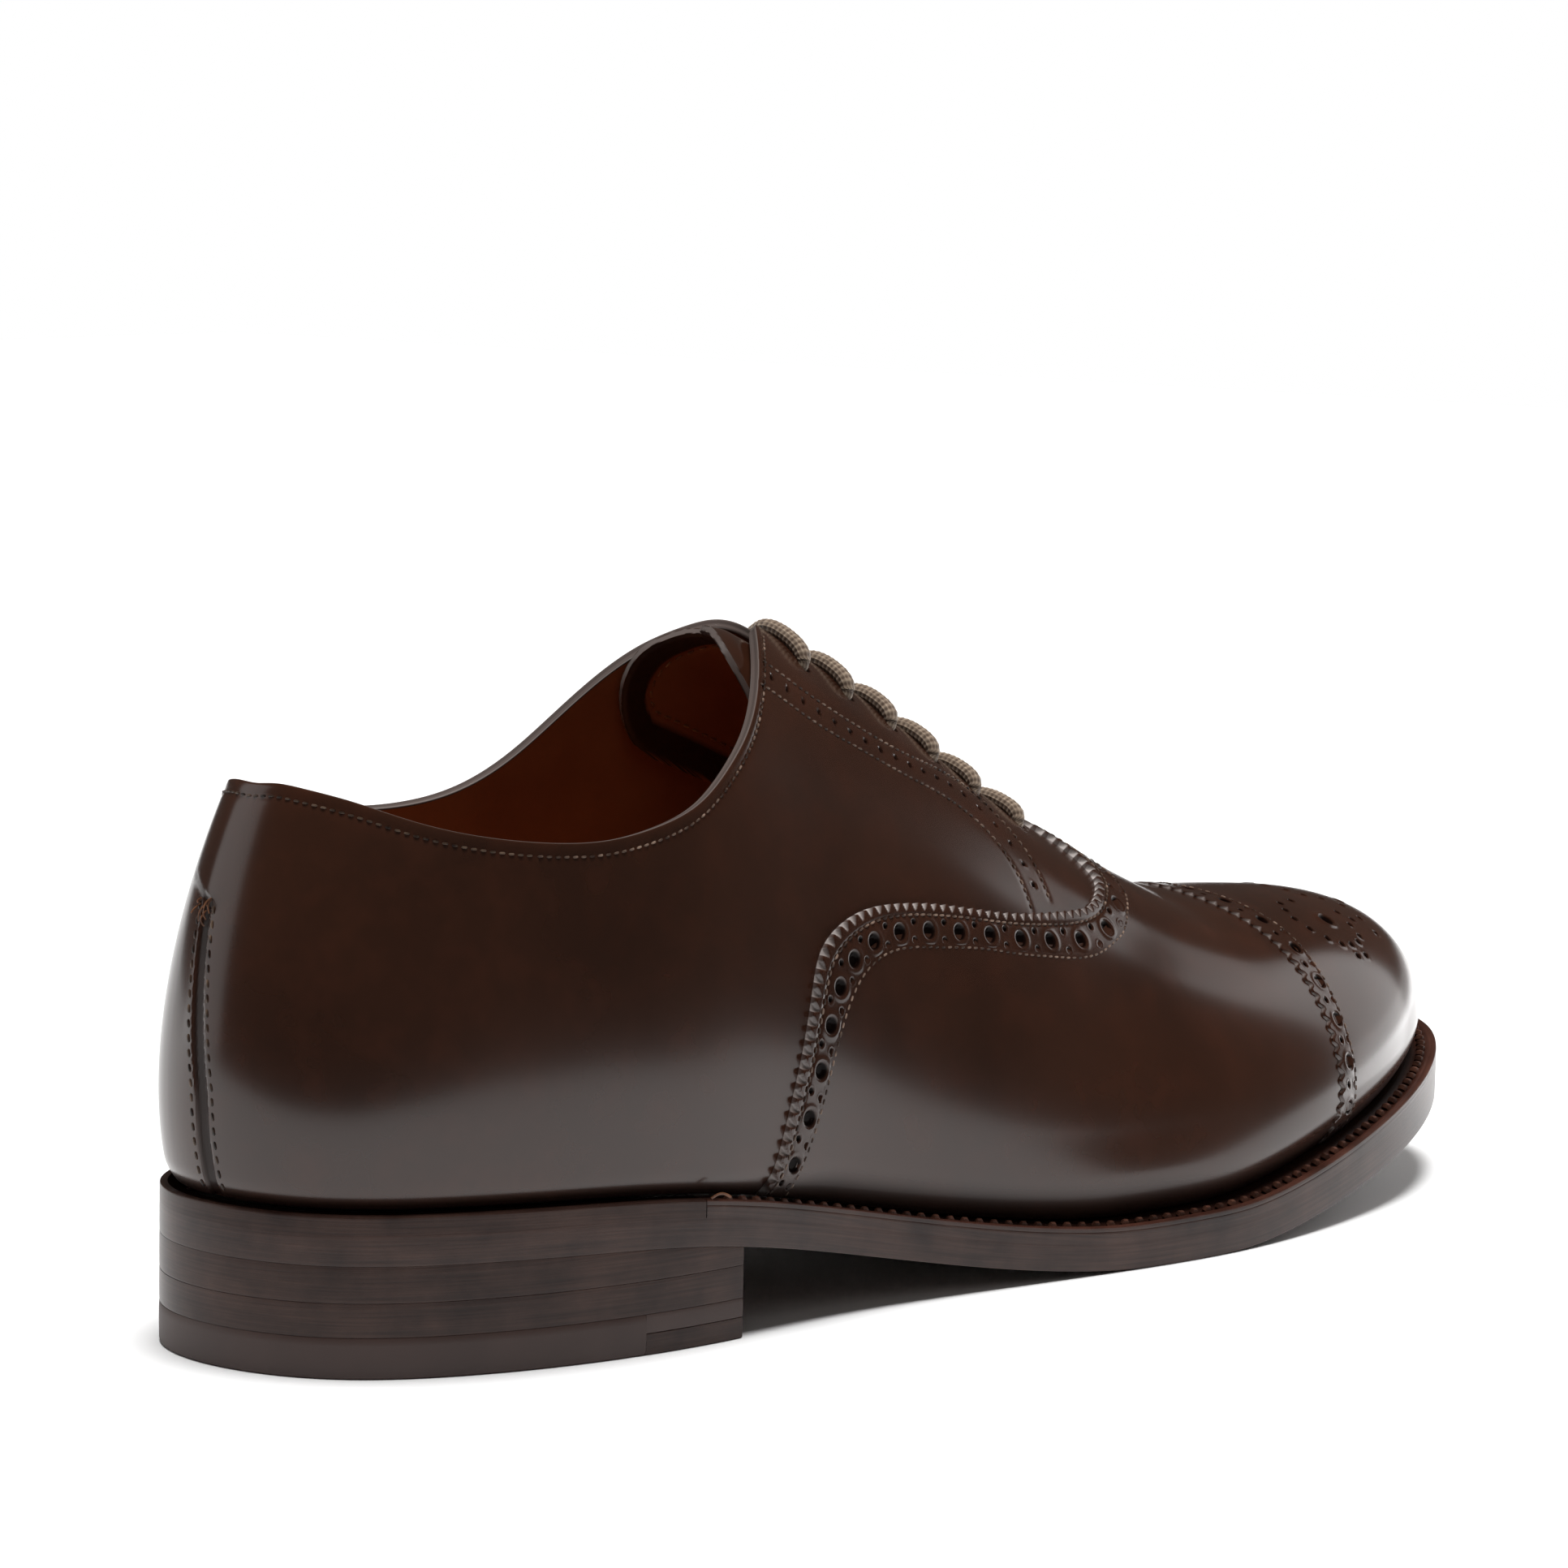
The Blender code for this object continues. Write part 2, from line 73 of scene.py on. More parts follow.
# Ribs of the last. along: % of SOLE_LENGTH, side and belly: % of BALL_WIDTH, rise, shoulder and
# drop: shares of the rib's height and reach, welt: mm that the sole stands out past the upper.
RIB_COLUMNS = ("outer_along", "outer_side", "inner_along", "inner_side", "ridge_along",
               "outer_belly", "inner_belly", "rise", "shoulder", "drop", "welt")
RIBS = (
    (0.9, 0.5, 0.9, 0.5, 18.1, 10.2, 10.2, 0.33, 0.71, 0.02, 1.6),       # back of the heel
    (3.1, -17.3, 2.2, 17.8, 20.1, 10.2, 10.2, 0.33, 0.65, 0.02, 1.6),    # heel round
    (9.9, -32.0, 9.9, 31.0, 21.4, 10.2, 10.2, 0.33, 0.71, 0.02, 1.7),    # heel side
    (25.0, -40.6, 25.0, 31.5, 28.3, 7.1, 9.1, 0.37, 0.72, 0.02, 2.0),    # heel breast
    (36.2, -38.8, 36.8, 25.9, 36.2, 6.1, 11.2, 0.40, 0.62, 0.02, 2.8),   # waist
    (47.7, -40.6, 48.7, 27.4, 47.0, 6.1, 9.1, 0.40, 0.50, 0.0, 4.0),     # shank
    (57.6, -43.7, 59.2, 37.6, 56.9, 6.1, 6.1, 0.42, 0.46, 0.0, 5.0),     # joint
    (66.4, -44.7, 69.4, 44.2, 66.4, 6.1, 5.1, 0.50, 0.50, 0.0, 5.4),     # ball
    (80.6, -37.2, 82.6, 40.6, 75.7, 5.1, 4.6, 0.60, 0.55, 0.0, 5.6),     # toe side
    (91.1, -22.9, 91.8, 28.9, 81.2, 4.1, 4.1, 0.67, 0.58, 0.0, 5.8),     # toe round
    (98.0, 3.6, 98.0, 3.6, 83.9, 3.9, 3.9, 0.71, 0.60, 0.0, 5.8),        # toe tip
)
# Ridge over the foot. along: % of SOLE_LENGTH, height: % of INSTEP_HEIGHT, side: % of BALL_WIDTH.
RIDGE = (
    (9.9, 116.0, 0.0), (23.0, 119.5, 0.0), (32.9, 110.0, 0.0), (40.0, 100.0, 0.0), (49.3, 85.7, 0.0),
    (57.9, 71.0, 0.3), (65.8, 59.1, 1.0), (70.7, 53.5, 1.8), (75.7, 50.0, 2.5), (80.9, 48.5, 3.5),
    (86.2, 47.3, 4.5),
)
# Tread of the outsole. along: % of SOLE_LENGTH, height: % of HEEL_HEIGHT (below zero is pressed flat),
# edge: mm of outsole and welt together.
TREAD = (
    (0.0, 100.0, 8.4), (14.8, 98.4, 8.3), (25.0, 89.0, 8.1), (36.2, 55.6, 8.0), (47.7, 18.5, 8.0),
    (55.9, 1.1, 8.1), (61.2, -3.2, 8.2), (67.1, 1.6, 8.3), (74.0, 16.9, 8.6), (81.9, 40.2, 9.0),
    (88.5, 61.4, 9.3), (94.7, 78.8, 9.5), (100.0, 91.0, 9.7),
)
# Free edge of the quarters on the outer and the inner side: collar, facing top, throat. turn, up.
THROAT_END = 0.682
OUTER_TOPLINE = (
    (0.0, 0.506), (0.013, 0.507), (0.03, 0.500), (0.05, 0.488), (0.10, 0.459), (0.14, 0.441), (0.18, 0.428),
    (0.21, 0.426),
    (0.245, 0.441), (0.28, 0.477), (0.31, 0.535), (0.34, 0.615), (0.365, 0.715), (0.388, 0.830),
    (0.402, 0.900), (0.413, 0.945), (0.43, 0.962), (0.50, 0.966), (0.60, 0.972), (0.65, 0.980),
    (THROAT_END, 1.0),
)
INNER_TOPLINE = (
    (0.0, 0.506), (0.02, 0.503), (0.05, 0.488), (0.10, 0.459), (0.14, 0.439), (0.18, 0.423), (0.21, 0.415),
    (0.245, 0.420), (0.28, 0.451), (0.31, 0.518), (0.34, 0.634), (0.365, 0.742), (0.388, 0.842),
    (0.402, 0.912), (0.413, 0.948), (0.43, 0.962), (0.50, 0.966), (0.60, 0.972), (0.65, 0.980),
    (THROAT_END, 1.0),
)
# Lines sewn or cut on either side, in turn and up, from the welt to the ridge.
WING_EDGE = (
    (0.315, 0.0), (0.321, 0.030), (0.331, 0.104), (0.342, 0.186), (0.353, 0.268), (0.364, 0.326),
    (0.378, 0.358), (0.393, 0.382), (0.411, 0.404), (0.431, 0.422), (0.458, 0.442), (0.493, 0.464),
    (0.528, 0.490), (0.555, 0.518), (0.576, 0.544), (0.597, 0.574), (0.613, 0.606), (0.628, 0.655),
    (0.639, 0.705), (0.647, 0.766), (0.648, 0.830), (0.642, 0.900), (0.634, 0.960), (0.631, 1.0),
)
WING_ROW = (
    (0.335, 0.0), (0.341, 0.046), (0.348, 0.086), (0.356, 0.136), (0.364, 0.188), (0.372, 0.232),
    (0.383, 0.278), (0.391, 0.302), (0.401, 0.324), (0.415, 0.346), (0.431, 0.362), (0.458, 0.380),
    (0.491, 0.402), (0.524, 0.420), (0.553, 0.440), (0.582, 0.464), (0.601, 0.490), (0.617, 0.524),
    (0.631, 0.560), (0.642, 0.603), (0.652, 0.650), (0.663, 0.712), (0.671, 0.800), (0.672, 0.880),
    (0.669, 0.950), (0.668, 1.0),
)
CAP_EDGE = (
    (0.771, 0.0), (0.775, 0.070), (0.778, 0.134), (0.779, 0.208), (0.780, 0.296), (0.782, 0.380),
    (0.785, 0.472), (0.788, 0.546), (0.790, 0.630), (0.791, 0.712), (0.791, 0.800), (0.791, 0.880),
    (0.793, 0.950), (0.794, 1.0),
)
CAP_ROW = (
    (0.793, 0.0), (0.794, 0.098), (0.795, 0.150), (0.796, 0.242), (0.798, 0.336), (0.803, 0.440),
    (0.810, 0.544), (0.816, 0.634), (0.820, 0.722), (0.824, 0.824), (0.827, 0.900), (0.830, 0.960),
    (0.831, 1.0),
)
FACING_ROWS = (
    ((0.375, 0.757), (0.385, 0.751), (0.418, 0.734), (0.451, 0.728), (0.487, 0.736), (0.532, 0.781),
     (0.559, 0.792), (0.572, 0.744), (0.579, 0.663), (0.577, 0.575)),
    ((0.360, 0.695), (0.373, 0.690), (0.407, 0.674), (0.440, 0.671), (0.475, 0.672), (0.511, 0.682),
     (0.534, 0.675), (0.550, 0.637), (0.555, 0.568), (0.554, 0.525)),
)
# Hidden lower edge of the quarters and upper edge of the vamp, each tucked under its neighbour. turn, up.
QUARTER_FOOT = (
    (0.0, 0.0), (0.325, 0.0), (0.345, 0.09), (0.36, 0.19), (0.38, 0.28), (0.41, 0.34), (0.47, 0.39),
    (0.55, 0.45), (0.60, 0.51), (0.64, 0.60), (0.69, 0.78),
)
VAMP_TOP = (
    (0.332, 0.0), (0.338, 0.050), (0.346, 0.100), (0.354, 0.150), (0.362, 0.205), (0.370, 0.250),
    (0.381, 0.296), (0.389, 0.320), (0.400, 0.343), (0.414, 0.364), (0.430, 0.380), (0.458, 0.399),
    (0.491, 0.421), (0.524, 0.440), (0.553, 0.462), (0.580, 0.488), (0.598, 0.514), (0.613, 0.550),
    (0.627, 0.590), (0.638, 0.635), (0.647, 0.690), (0.654, 0.760), (0.659, 0.850), (0.664, 1.0),
)

# Ends of the leather pieces, in turn
FACING_START = 0.34
QUARTER_END = 0.69
VAMP_START = 0.332
VAMP_END = 0.80

# Broguing. Places across a band are shares of its width from the cut edge to the sewn row.
TOOTH_PITCH = 2.5 * MM
TOOTH_DEPTH = 1.7 * MM
BAND_STEP = 0.25 * MM
WING_STYLE = dict(hole_radius=1.6 * MM, pin_radius=0.62 * MM, pitch=8.3 * MM, middle=0.64,
                  sewn=(0.28, 1.0), pale=0.9)
CAP_STYLE = dict(hole_radius=1.4 * MM, pin_radius=0.6 * MM, pitch=8.0 * MM, middle=0.68,
                 sewn=(1.0,), pale=0.35)
# Medallion of the toe cap on one side. mm in front of the cap's edge on the ridge, mm from the ridge.
MEDALLION_EYE = ((31.0, 19.5),)
MEDALLION = (
    (23.5, 14.0), (28.6, 12.8), (21.8, 16.7), (21.0, 19.8), (22.2, 22.6), (24.9, 24.9), (28.0, 26.0),
    (31.4, 25.7), (34.8, 24.5), (37.4, 22.6), (38.0, 19.6), (30.6, 28.0), (33.6, 27.3), (38.9, 15.6),
    (41.6, 17.2), (46.2, 15.0), (46.4, 18.8), (41.8, 9.0), (46.4, 10.4), (37.2, 8.6), (35.4, 5.6),
    (33.6, 2.2), (51.0, 6.0), (54.0, 2.0),
)
MEDALLION_RADII = ((MEDALLION, 0.75 * MM), (MEDALLION_EYE, 1.7 * MM))

# Sewing. Length, pitch and radius of a stitch.
FINE_STITCH = (1.2 * MM, 1.6 * MM, 0.19 * MM)
BAND_STITCH = (1.35 * MM, 1.7 * MM, 0.2 * MM)
BACK_STITCH = (1.8 * MM, 2.4 * MM, 0.22 * MM)
TONGUE_STITCH = (1.7 * MM, 2.3 * MM, 0.22 * MM)
WELT_STITCH = (2.3 * MM, 3.4 * MM, 0.8 * MM)
WELT_SLANT = 1.25
COLLAR_ROW = 1.9 * MM
PALE_COLLAR_START = 0.17
BACK_ROW = 2.3 * MM
# Leather that one unit of turn covers round the back of the heel
BACK_SPREAD = 328 * MM

# Lacing
LACE_BARS = 6
FIRST_BAR = 0.429
BAR_STEP = 0.0355
EYELET_UP = 0.84
LACE_RADIUS = 1.5 * MM
LACE_DEPTH = 2.6 * MM

# Camera: bearing, downward tip and roll, and its place in mm from the back of the heel
VIEW_AZIMUTH, VIEW_TIP, VIEW_ROLL = np.radians((-43.05, 7.57, 1.11))
VIEW_PLACE = np.array((-501.5, -675.4, 209.6))
VIEW_LENS = 119.26


def spline(knots, values, period=None):
    """A curve through the rows with smooth bends: natural cubic, or closed when a period is given."""
    knots = np.asarray(knots, float)
    values = np.asarray(values, float).reshape(len(knots), -1)
    if period:
        knots = np.append(knots, knots[0] + period)
        values = np.vstack([values, values[:1]])
    count = len(knots)
    step = np.diff(knots)
    slope = np.diff(values, axis=0) / step[:, None]
    system = np.zeros((count, count))
    target = np.zeros((count, values.shape[1]))
    for row in range(1, count - 1):
        system[row, row - 1:row + 2] = step[row - 1], 2 * (step[row - 1] + step[row]), step[row]
        target[row] = 6 * (slope[row] - slope[row - 1])
    system[0, 0] = 1
    system[-1, -1] = 1
    if period:
        system[0, -1] = -1
        system[-1, [0, 1, -2, -1]] = 2 * step[0], step[0], step[-1], 2 * step[-1]
        target[-1] = 6 * (slope[0] - slope[-1])
    bend = np.linalg.solve(system, target)

    def at(place):
        place = np.asarray(place, float)
        if period:
            place = knots[0] + np.mod(place - knots[0], period)
        i = np.clip(np.searchsorted(knots, place, side="right") - 1, 0, count - 2)
        a = ((knots[i + 1] - place) / step[i])[..., None]
        b = ((place - knots[i]) / step[i])[..., None]
        bulge = ((a**3 - a) * bend[i] + (b**3 - b) * bend[i + 1]) * step[i][..., None]**2 / 6
        result = a * values[i] + b * values[i + 1] + bulge
        return result[..., 0] if result.shape[-1] == 1 else result

    return at


def run_of(path):
    """Distance of each point of a path from its first one, along the path."""
    return np.concatenate([[0], np.cumsum(np.linalg.norm(np.diff(path, axis=0), axis=1))])


def rib_curves():
    """Smooth curves round the foot: feather x and y, ridge x, belly, rise, shoulder, drop and welt."""
    rib = dict(zip(RIB_COLUMNS, np.array(RIBS).T))
    share = []
    for side in ("outer", "inner"):
        run = run_of(np.stack([rib[side + "_along"] * SOLE_LENGTH, rib[side + "_side"] * BALL_WIDTH], -1))
        share.append(run / run[-1])
    turn = (share[0] + share[1]) / 2

    def both(outer, inner, scale):
        return np.concatenate([rib[outer], rib[inner][-2:0:-1]]) * scale

    columns = [
        both("outer_along", "inner_along", SOLE_LENGTH / 100),
        both("outer_side", "inner_side", BALL_WIDTH / 100),
        both("ridge_along", "ridge_along", SOLE_LENGTH / 100),
        both("outer_belly", "inner_belly", BALL_WIDTH / 100),
        both("rise", "rise", 1),
        both("shoulder", "shoulder", 1),
        both("drop", "drop", 1),
        both("welt", "welt", MM),
    ]
    return spline(np.concatenate([turn, 2 - turn[-2:0:-1]]), np.stack(columns, -1), 2.0)


rib_at = rib_curves()
ridge_table = np.array(RIDGE) / 100 * (SOLE_LENGTH, INSTEP_HEIGHT, BALL_WIDTH)
ridge_at = spline(ridge_table[:, 0], ridge_table[:, 1:])
tread_table = np.array(TREAD) * (SOLE_LENGTH / 100, HEEL_HEIGHT / 100, MM)
tread_at = spline(tread_table[:, 0], tread_table[:, 1:])
outer_topline = spline(*zip(*OUTER_TOPLINE))
inner_topline = spline(*zip(*INNER_TOPLINE))


def topline(turn):
    """Height of the quarters' free edge; past the throat it is the ridge."""
    away = np.abs(turn)
    edge = np.where(turn > 0, outer_topline(away), inner_topline(away))
    return np.where(away < THROAT_END, np.minimum(edge, 1.0), 1.0)


def tread(x):
    """Height of the outsole's underside, which bends softly into the flat spot on the floor."""
    height = tread_at(x)[..., 0]
    return (height + np.hypot(height, FLAT_SPOT_BEND)) / 2


def seat(x):
    """Height of the welt's upper face."""
    return tread(x) + tread_at(x)[..., 1]


def feather(turn, out=0.0):
    """Plan of the line where upper and welt meet, moved outwards by `out`."""
    nudge = 1e-4
    here = rib_at(turn)
    way = rib_at(turn + nudge)[..., :2] - rib_at(turn - nudge)[..., :2]
    way = way / np.linalg.norm(way, axis=-1)[..., None]
    outward = np.stack([way[..., 1], -way[..., 0]], -1)
    return here[..., :2] + outward * np.asarray(out)[..., None]


def welt_width(turn):
    """Distance that the sole stands out past the upper."""
    return rib_at(turn)[..., 7]


def sole_edge(turn, inset=0.0):
    """Plan of the sole: the feather line moved out by the welt."""
    return feather(turn, welt_width(turn) - inset)


def last_surface(turn, up):
    """A point of the last: each rib is a cubic curve from the feather line to the ridge."""
    turn, up = np.broadcast_arrays(np.asarray(turn, float), np.asarray(up, float))
    _, _, ridge_x, belly, rise, shoulder, drop, _ = np.moveaxis(rib_at(turn), -1, 0)
    foot_xy = feather(turn)
    foot = np.concatenate([foot_xy, (seat(foot_xy[..., 0]) + GAP)[..., None]], -1)
    ridge_z, ridge_y = np.moveaxis(ridge_at(ridge_x), -1, 0)
    nudge = 0.1 * MM
    slope = (ridge_at(ridge_x + nudge)[..., 0] - ridge_at(ridge_x - nudge)[..., 0]) / (2 * nudge)
    top = np.stack([ridge_x, ridge_y, ridge_z], -1)
    out = foot[..., :2] - top[..., :2]
    reach = np.linalg.norm(out, axis=-1)
    out = out / reach[..., None]
    height = top[..., 2] - foot[..., 2]
    low = foot + np.stack([out[..., 0] * belly, out[..., 1] * belly, rise * height], -1)
    arm = shoulder * reach
    fall = arm * out[..., 0] * slope - drop * height
    high = top + np.stack([out[..., 0] * arm, out[..., 1] * arm, fall], -1)
    s = up[..., None]
    return (1 - s)**3 * foot + 3 * (1 - s)**2 * s * low + 3 * (1 - s) * s**2 * high + s**3 * top


def last_normal(turn, up):
    """Outward direction of the last, the mean of both sides where they meet on the ridge."""
    turn, up = np.broadcast_arrays(np.asarray(turn, float), np.asarray(up, float))

    def one_side(around):
        nudge = 1e-4
        level = np.clip(up, nudge, 1 - 10 * nudge)
        across = last_surface(around, level + nudge) - last_surface(around, level - nudge)
        along = last_surface(around + nudge, level) - last_surface(around - nudge, level)
        normal = np.cross(along, across)
        return normal / np.linalg.norm(normal, axis=-1)[..., None]

    normal = one_side(turn)
    on_ridge = up > 1 - 1e-9
    if on_ridge.any():
        normal = np.where(on_ridge[..., None], (normal + one_side(2 - turn)) / 2, normal)
    return normal


def up_speed(turn, up):
    """Length of leather that one unit of `up` covers there."""
    nudge = 1e-3
    return np.linalg.norm(last_surface(turn, up) - last_surface(turn, up - nudge), axis=-1) / nudge


def smooth(x, low, high):
    """0 below low, 1 above high, an S between them; low may be the larger one."""
    t = np.clip((x - low) / (high - low), 0, 1)
    return t * t * (3 - 2 * t)


def bell(x, width):
    """A bump of height 1 at x = 0 that fades over `width`."""
    return np.exp(-(x / width)**2)


def seam(rows):
    """A line on the last through rows of turn and up, its parameter 0 to 1 even along its length."""
    rows = np.array(rows)
    chord = run_of(last_surface(*rows.T))
    curve = spline(chord / chord[-1], rows)
    fine = np.linspace(0, 1, 1500)
    run = run_of(last_surface(*curve(fine).T))

    def at(share):
        turn, up = np.moveaxis(curve(np.interp(share, run / run[-1], fine)), -1, 0)
        return turn, np.minimum(up, 1.0)

    return at, run[-1]


def nearest(points, spots):
    """Distance from every point to the nearest of the spots."""
    flat = points.reshape(-1, 3)
    square = (flat**2).sum(1)[:, None] + (spots**2).sum(1)[None, :] - 2 * flat @ spots.T
    return np.sqrt(np.maximum(square.min(1), 0)).reshape(points.shape[:-1])


def punched(points, spots, radius, depth, lip=0.07):
    """Relief and painted shade of punched holes: a wall that rounds down to the floor, and a pressed-up rim.
    """
    away = nearest(points, spots)
    hole = smooth(away, 1.06 * radius, 0.45 * radius)
    rim = bell(away - 1.25 * radius, 0.3 * radius)
    return lip * radius * rim - depth * hole, smooth(away, 1.08 * radius, 0.8 * radius)


def grid_faces(rows, columns, wrap=False):
    """Quads of a grid of points, row by row; wrap joins the last column to the first."""
    r, c = np.meshgrid(np.arange(rows - 1), np.arange(columns if wrap else columns - 1), indexing="ij")
    d = (c + 1) % columns
    corners = [r * columns + c, r * columns + d, (r + 1) * columns + d, (r + 1) * columns + c]
    return np.stack(corners, -1).reshape(-1, 4)


def patch(points, normal, mat=0, wrap=False, **values):
    """A grid of points as part of a piece, turned so that its faces look along `normal`."""
    rows, columns = points.shape[:2]
    along = points[:-1, 1:] - points[:-1, :-1]
    across = points[1:, :-1] - points[:-1, :-1]
    facing = (np.cross(along, across) * normal[:-1, :-1]).sum()
    faces = grid_faces(rows, columns, wrap)
    if facing < 0:
        faces = faces[:, ::-1]
    values = {key: np.broadcast_to(v, points.shape[:2]).reshape(-1) for key, v in values.items()}
    return {"points": points.reshape(-1, 3), "faces": faces, "mat": mat, "values": values}


def from_heel(turn):
    """Turn on either side: 0 at the back of the heel, 1 at the tip of the toe."""
    return 1 - np.abs(1 - np.mod(turn, 2))


def drape(turn, up):
    """How far the lasted leather leaves the last.

    It rounds in to the welt along a parabola, leans in above it beside the ball, swells where the throat is
    sewn, dips across the flex line behind it and, less, in a slanting trough below the facing.
    """
    away = from_heel(turn)
    ahead = smooth(away, 0.28, 0.38)
    height, depth = (5.0 + 3.5 * ahead) * MM, (1.2 + 1.3 * ahead) * MM
    rise = up * up_speed(turn, 0.04)
    near = np.clip(1 - rise / height, 0, 1)
    lean = bell(away - 0.61, 0.09) * smooth(rise, 4 * MM, 16 * MM) * smooth(up, 0.75, 0.35)
    swell = bell(away - 0.65, 0.03) * smooth(up, 0.75, 1.0)
    flex = bell(away - 0.735 - 0.03 * (1 - up), 0.022) * smooth(up, 0.45, 0.9)
    trough = bell(away - 0.60 - 0.25 * (up - 0.4), 0.03) * smooth(up, 0.15, 0.4) * smooth(up, 0.75, 0.5)
    return 0.7 * MM * swell - 0.55 * MM * flex - 0.2 * MM * trough - 1.0 * MM * lean - depth * near**2


def painted_crevice_shade(turn, up):
    """Share of painted shade on the leather.

    It lies where the upper rounds in to the welt, most at the waist.
    """
    away = from_heel(turn)
    waist = smooth(away, 0.28, 0.38) - 0.5 * smooth(away, 0.58, 0.78)
    rise = up * up_speed(turn, 0.04) / MM
    return 0.75 * smooth(rise, 3.2 + 4.6 * waist, 0.8 + 1.4 * waist)


def off_last(turn, up, out):
    """Points `out` off the bare last, and the directions it faces there."""
    normal = last_normal(turn, up)
    return last_surface(turn, up) + normal * np.asarray(out)[..., None], normal


def lay(turn, up, out):
    """Points of draped leather that lies `out` off the last, and the directions it faces."""
    return off_last(turn, up, out + drape(turn, up))


def leather(turn, up, out, **values):
    """A patch of leather that lies `out` off the last."""
    return patch(*lay(turn, up, out), **values)


def lined(turn, up):
    """A patch of the lining, which looks inwards from the inside of the wall."""
    points, normal = off_last(turn, up, -WALL)
    return patch(points, -normal)


# What a patch may tell its material: painted shade in pits, creases and ditches and the dark border of the
# tongue's lining, pale cut fibre with painted highlight lines on the collar's rim, distance along the piece,
# height on it
VALUES = ("pit", "cut", "along", "level")


def add_piece(name, patches, mats, replaces=(), sharp=0.6):
    """One object from patches, welded where they meet; its values become point attributes.

    Edges that bend by more than `sharp`, in radians, stay sharp.
    """
    sizes = np.cumsum([0] + [len(p["points"]) for p in patches])
    points = np.concatenate([p["points"] for p in patches]) - ORIGIN
    faces = np.concatenate([p["faces"] + start for p, start in zip(patches, sizes)])
    mesh = bpy.data.meshes.new(name)
    mesh.from_pydata(points, [], faces)
    index = np.concatenate([np.full(len(p["faces"]), p["mat"], np.int32) for p in patches])
    mesh.polygons.foreach_set("material_index", index)
    for key in VALUES:
        if any(key in p["values"] for p in patches):
            value = [p["values"].get(key, np.zeros(len(p["points"]))) for p in patches]
            store = mesh.attributes.new(key, "FLOAT", "POINT")
            store.data.foreach_set("value", np.concatenate(value).astype(np.float32))
    work = bmesh.new()
    work.from_mesh(mesh)
    bmesh.ops.remove_doubles(work, verts=work.verts, dist=0.002 * MM)
    work.to_mesh(mesh)
    work.free()
    for mat in mats:
        mesh.materials.append(mat)
    mesh.shade_smooth()
    mesh.set_sharp_from_angle(angle=sharp)
    piece = bpy.data.objects.new(name, mesh)
    bpy.context.collection.objects.link(piece)
    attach(piece, "root")
    if replaces:
        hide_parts(*replaces)


def linear(code):
    """An sRGB hex colour as linear red, green, blue and alpha."""
    value = np.array([int(code[i:i + 2], 16) for i in (1, 3, 5)]) / 255
    value = np.where(value <= 0.04045, value / 12.92, ((value + 0.055) / 1.055)**2.4)
    return (*value.tolist(), 1.0)


def feed(mat, node, sockets):
    """Gives each named socket of a node a value, or a link from another node's output."""
    for key, value in sockets.items():
        if isinstance(value, bpy.types.NodeSocket):
            mat.node_tree.links.new(value, node.inputs[key])
        else:
            node.inputs[key].default_value = value


def add(mat, kind, sockets=None, **settings):
    """A new node with its settings, and with its sockets fed."""
    node = mat.node_tree.nodes.new(kind)
    for key, value in settings.items():
        setattr(node, key, value)
    feed(mat, node, sockets or {})
    return node


def finish_of(name, roughness, **sockets):
    """A new material and its shader, with the sockets that are the same all over the surface."""
    mat = bpy.data.materials.new(name)
    mat.use_nodes = True
    shader = mat.node_tree.nodes["Principled BSDF"]
    feed(mat, shader, {"Roughness": roughness})
    feed(mat, shader, {key.replace("_", " "): value for key, value in sockets.items()})
    return mat, shader


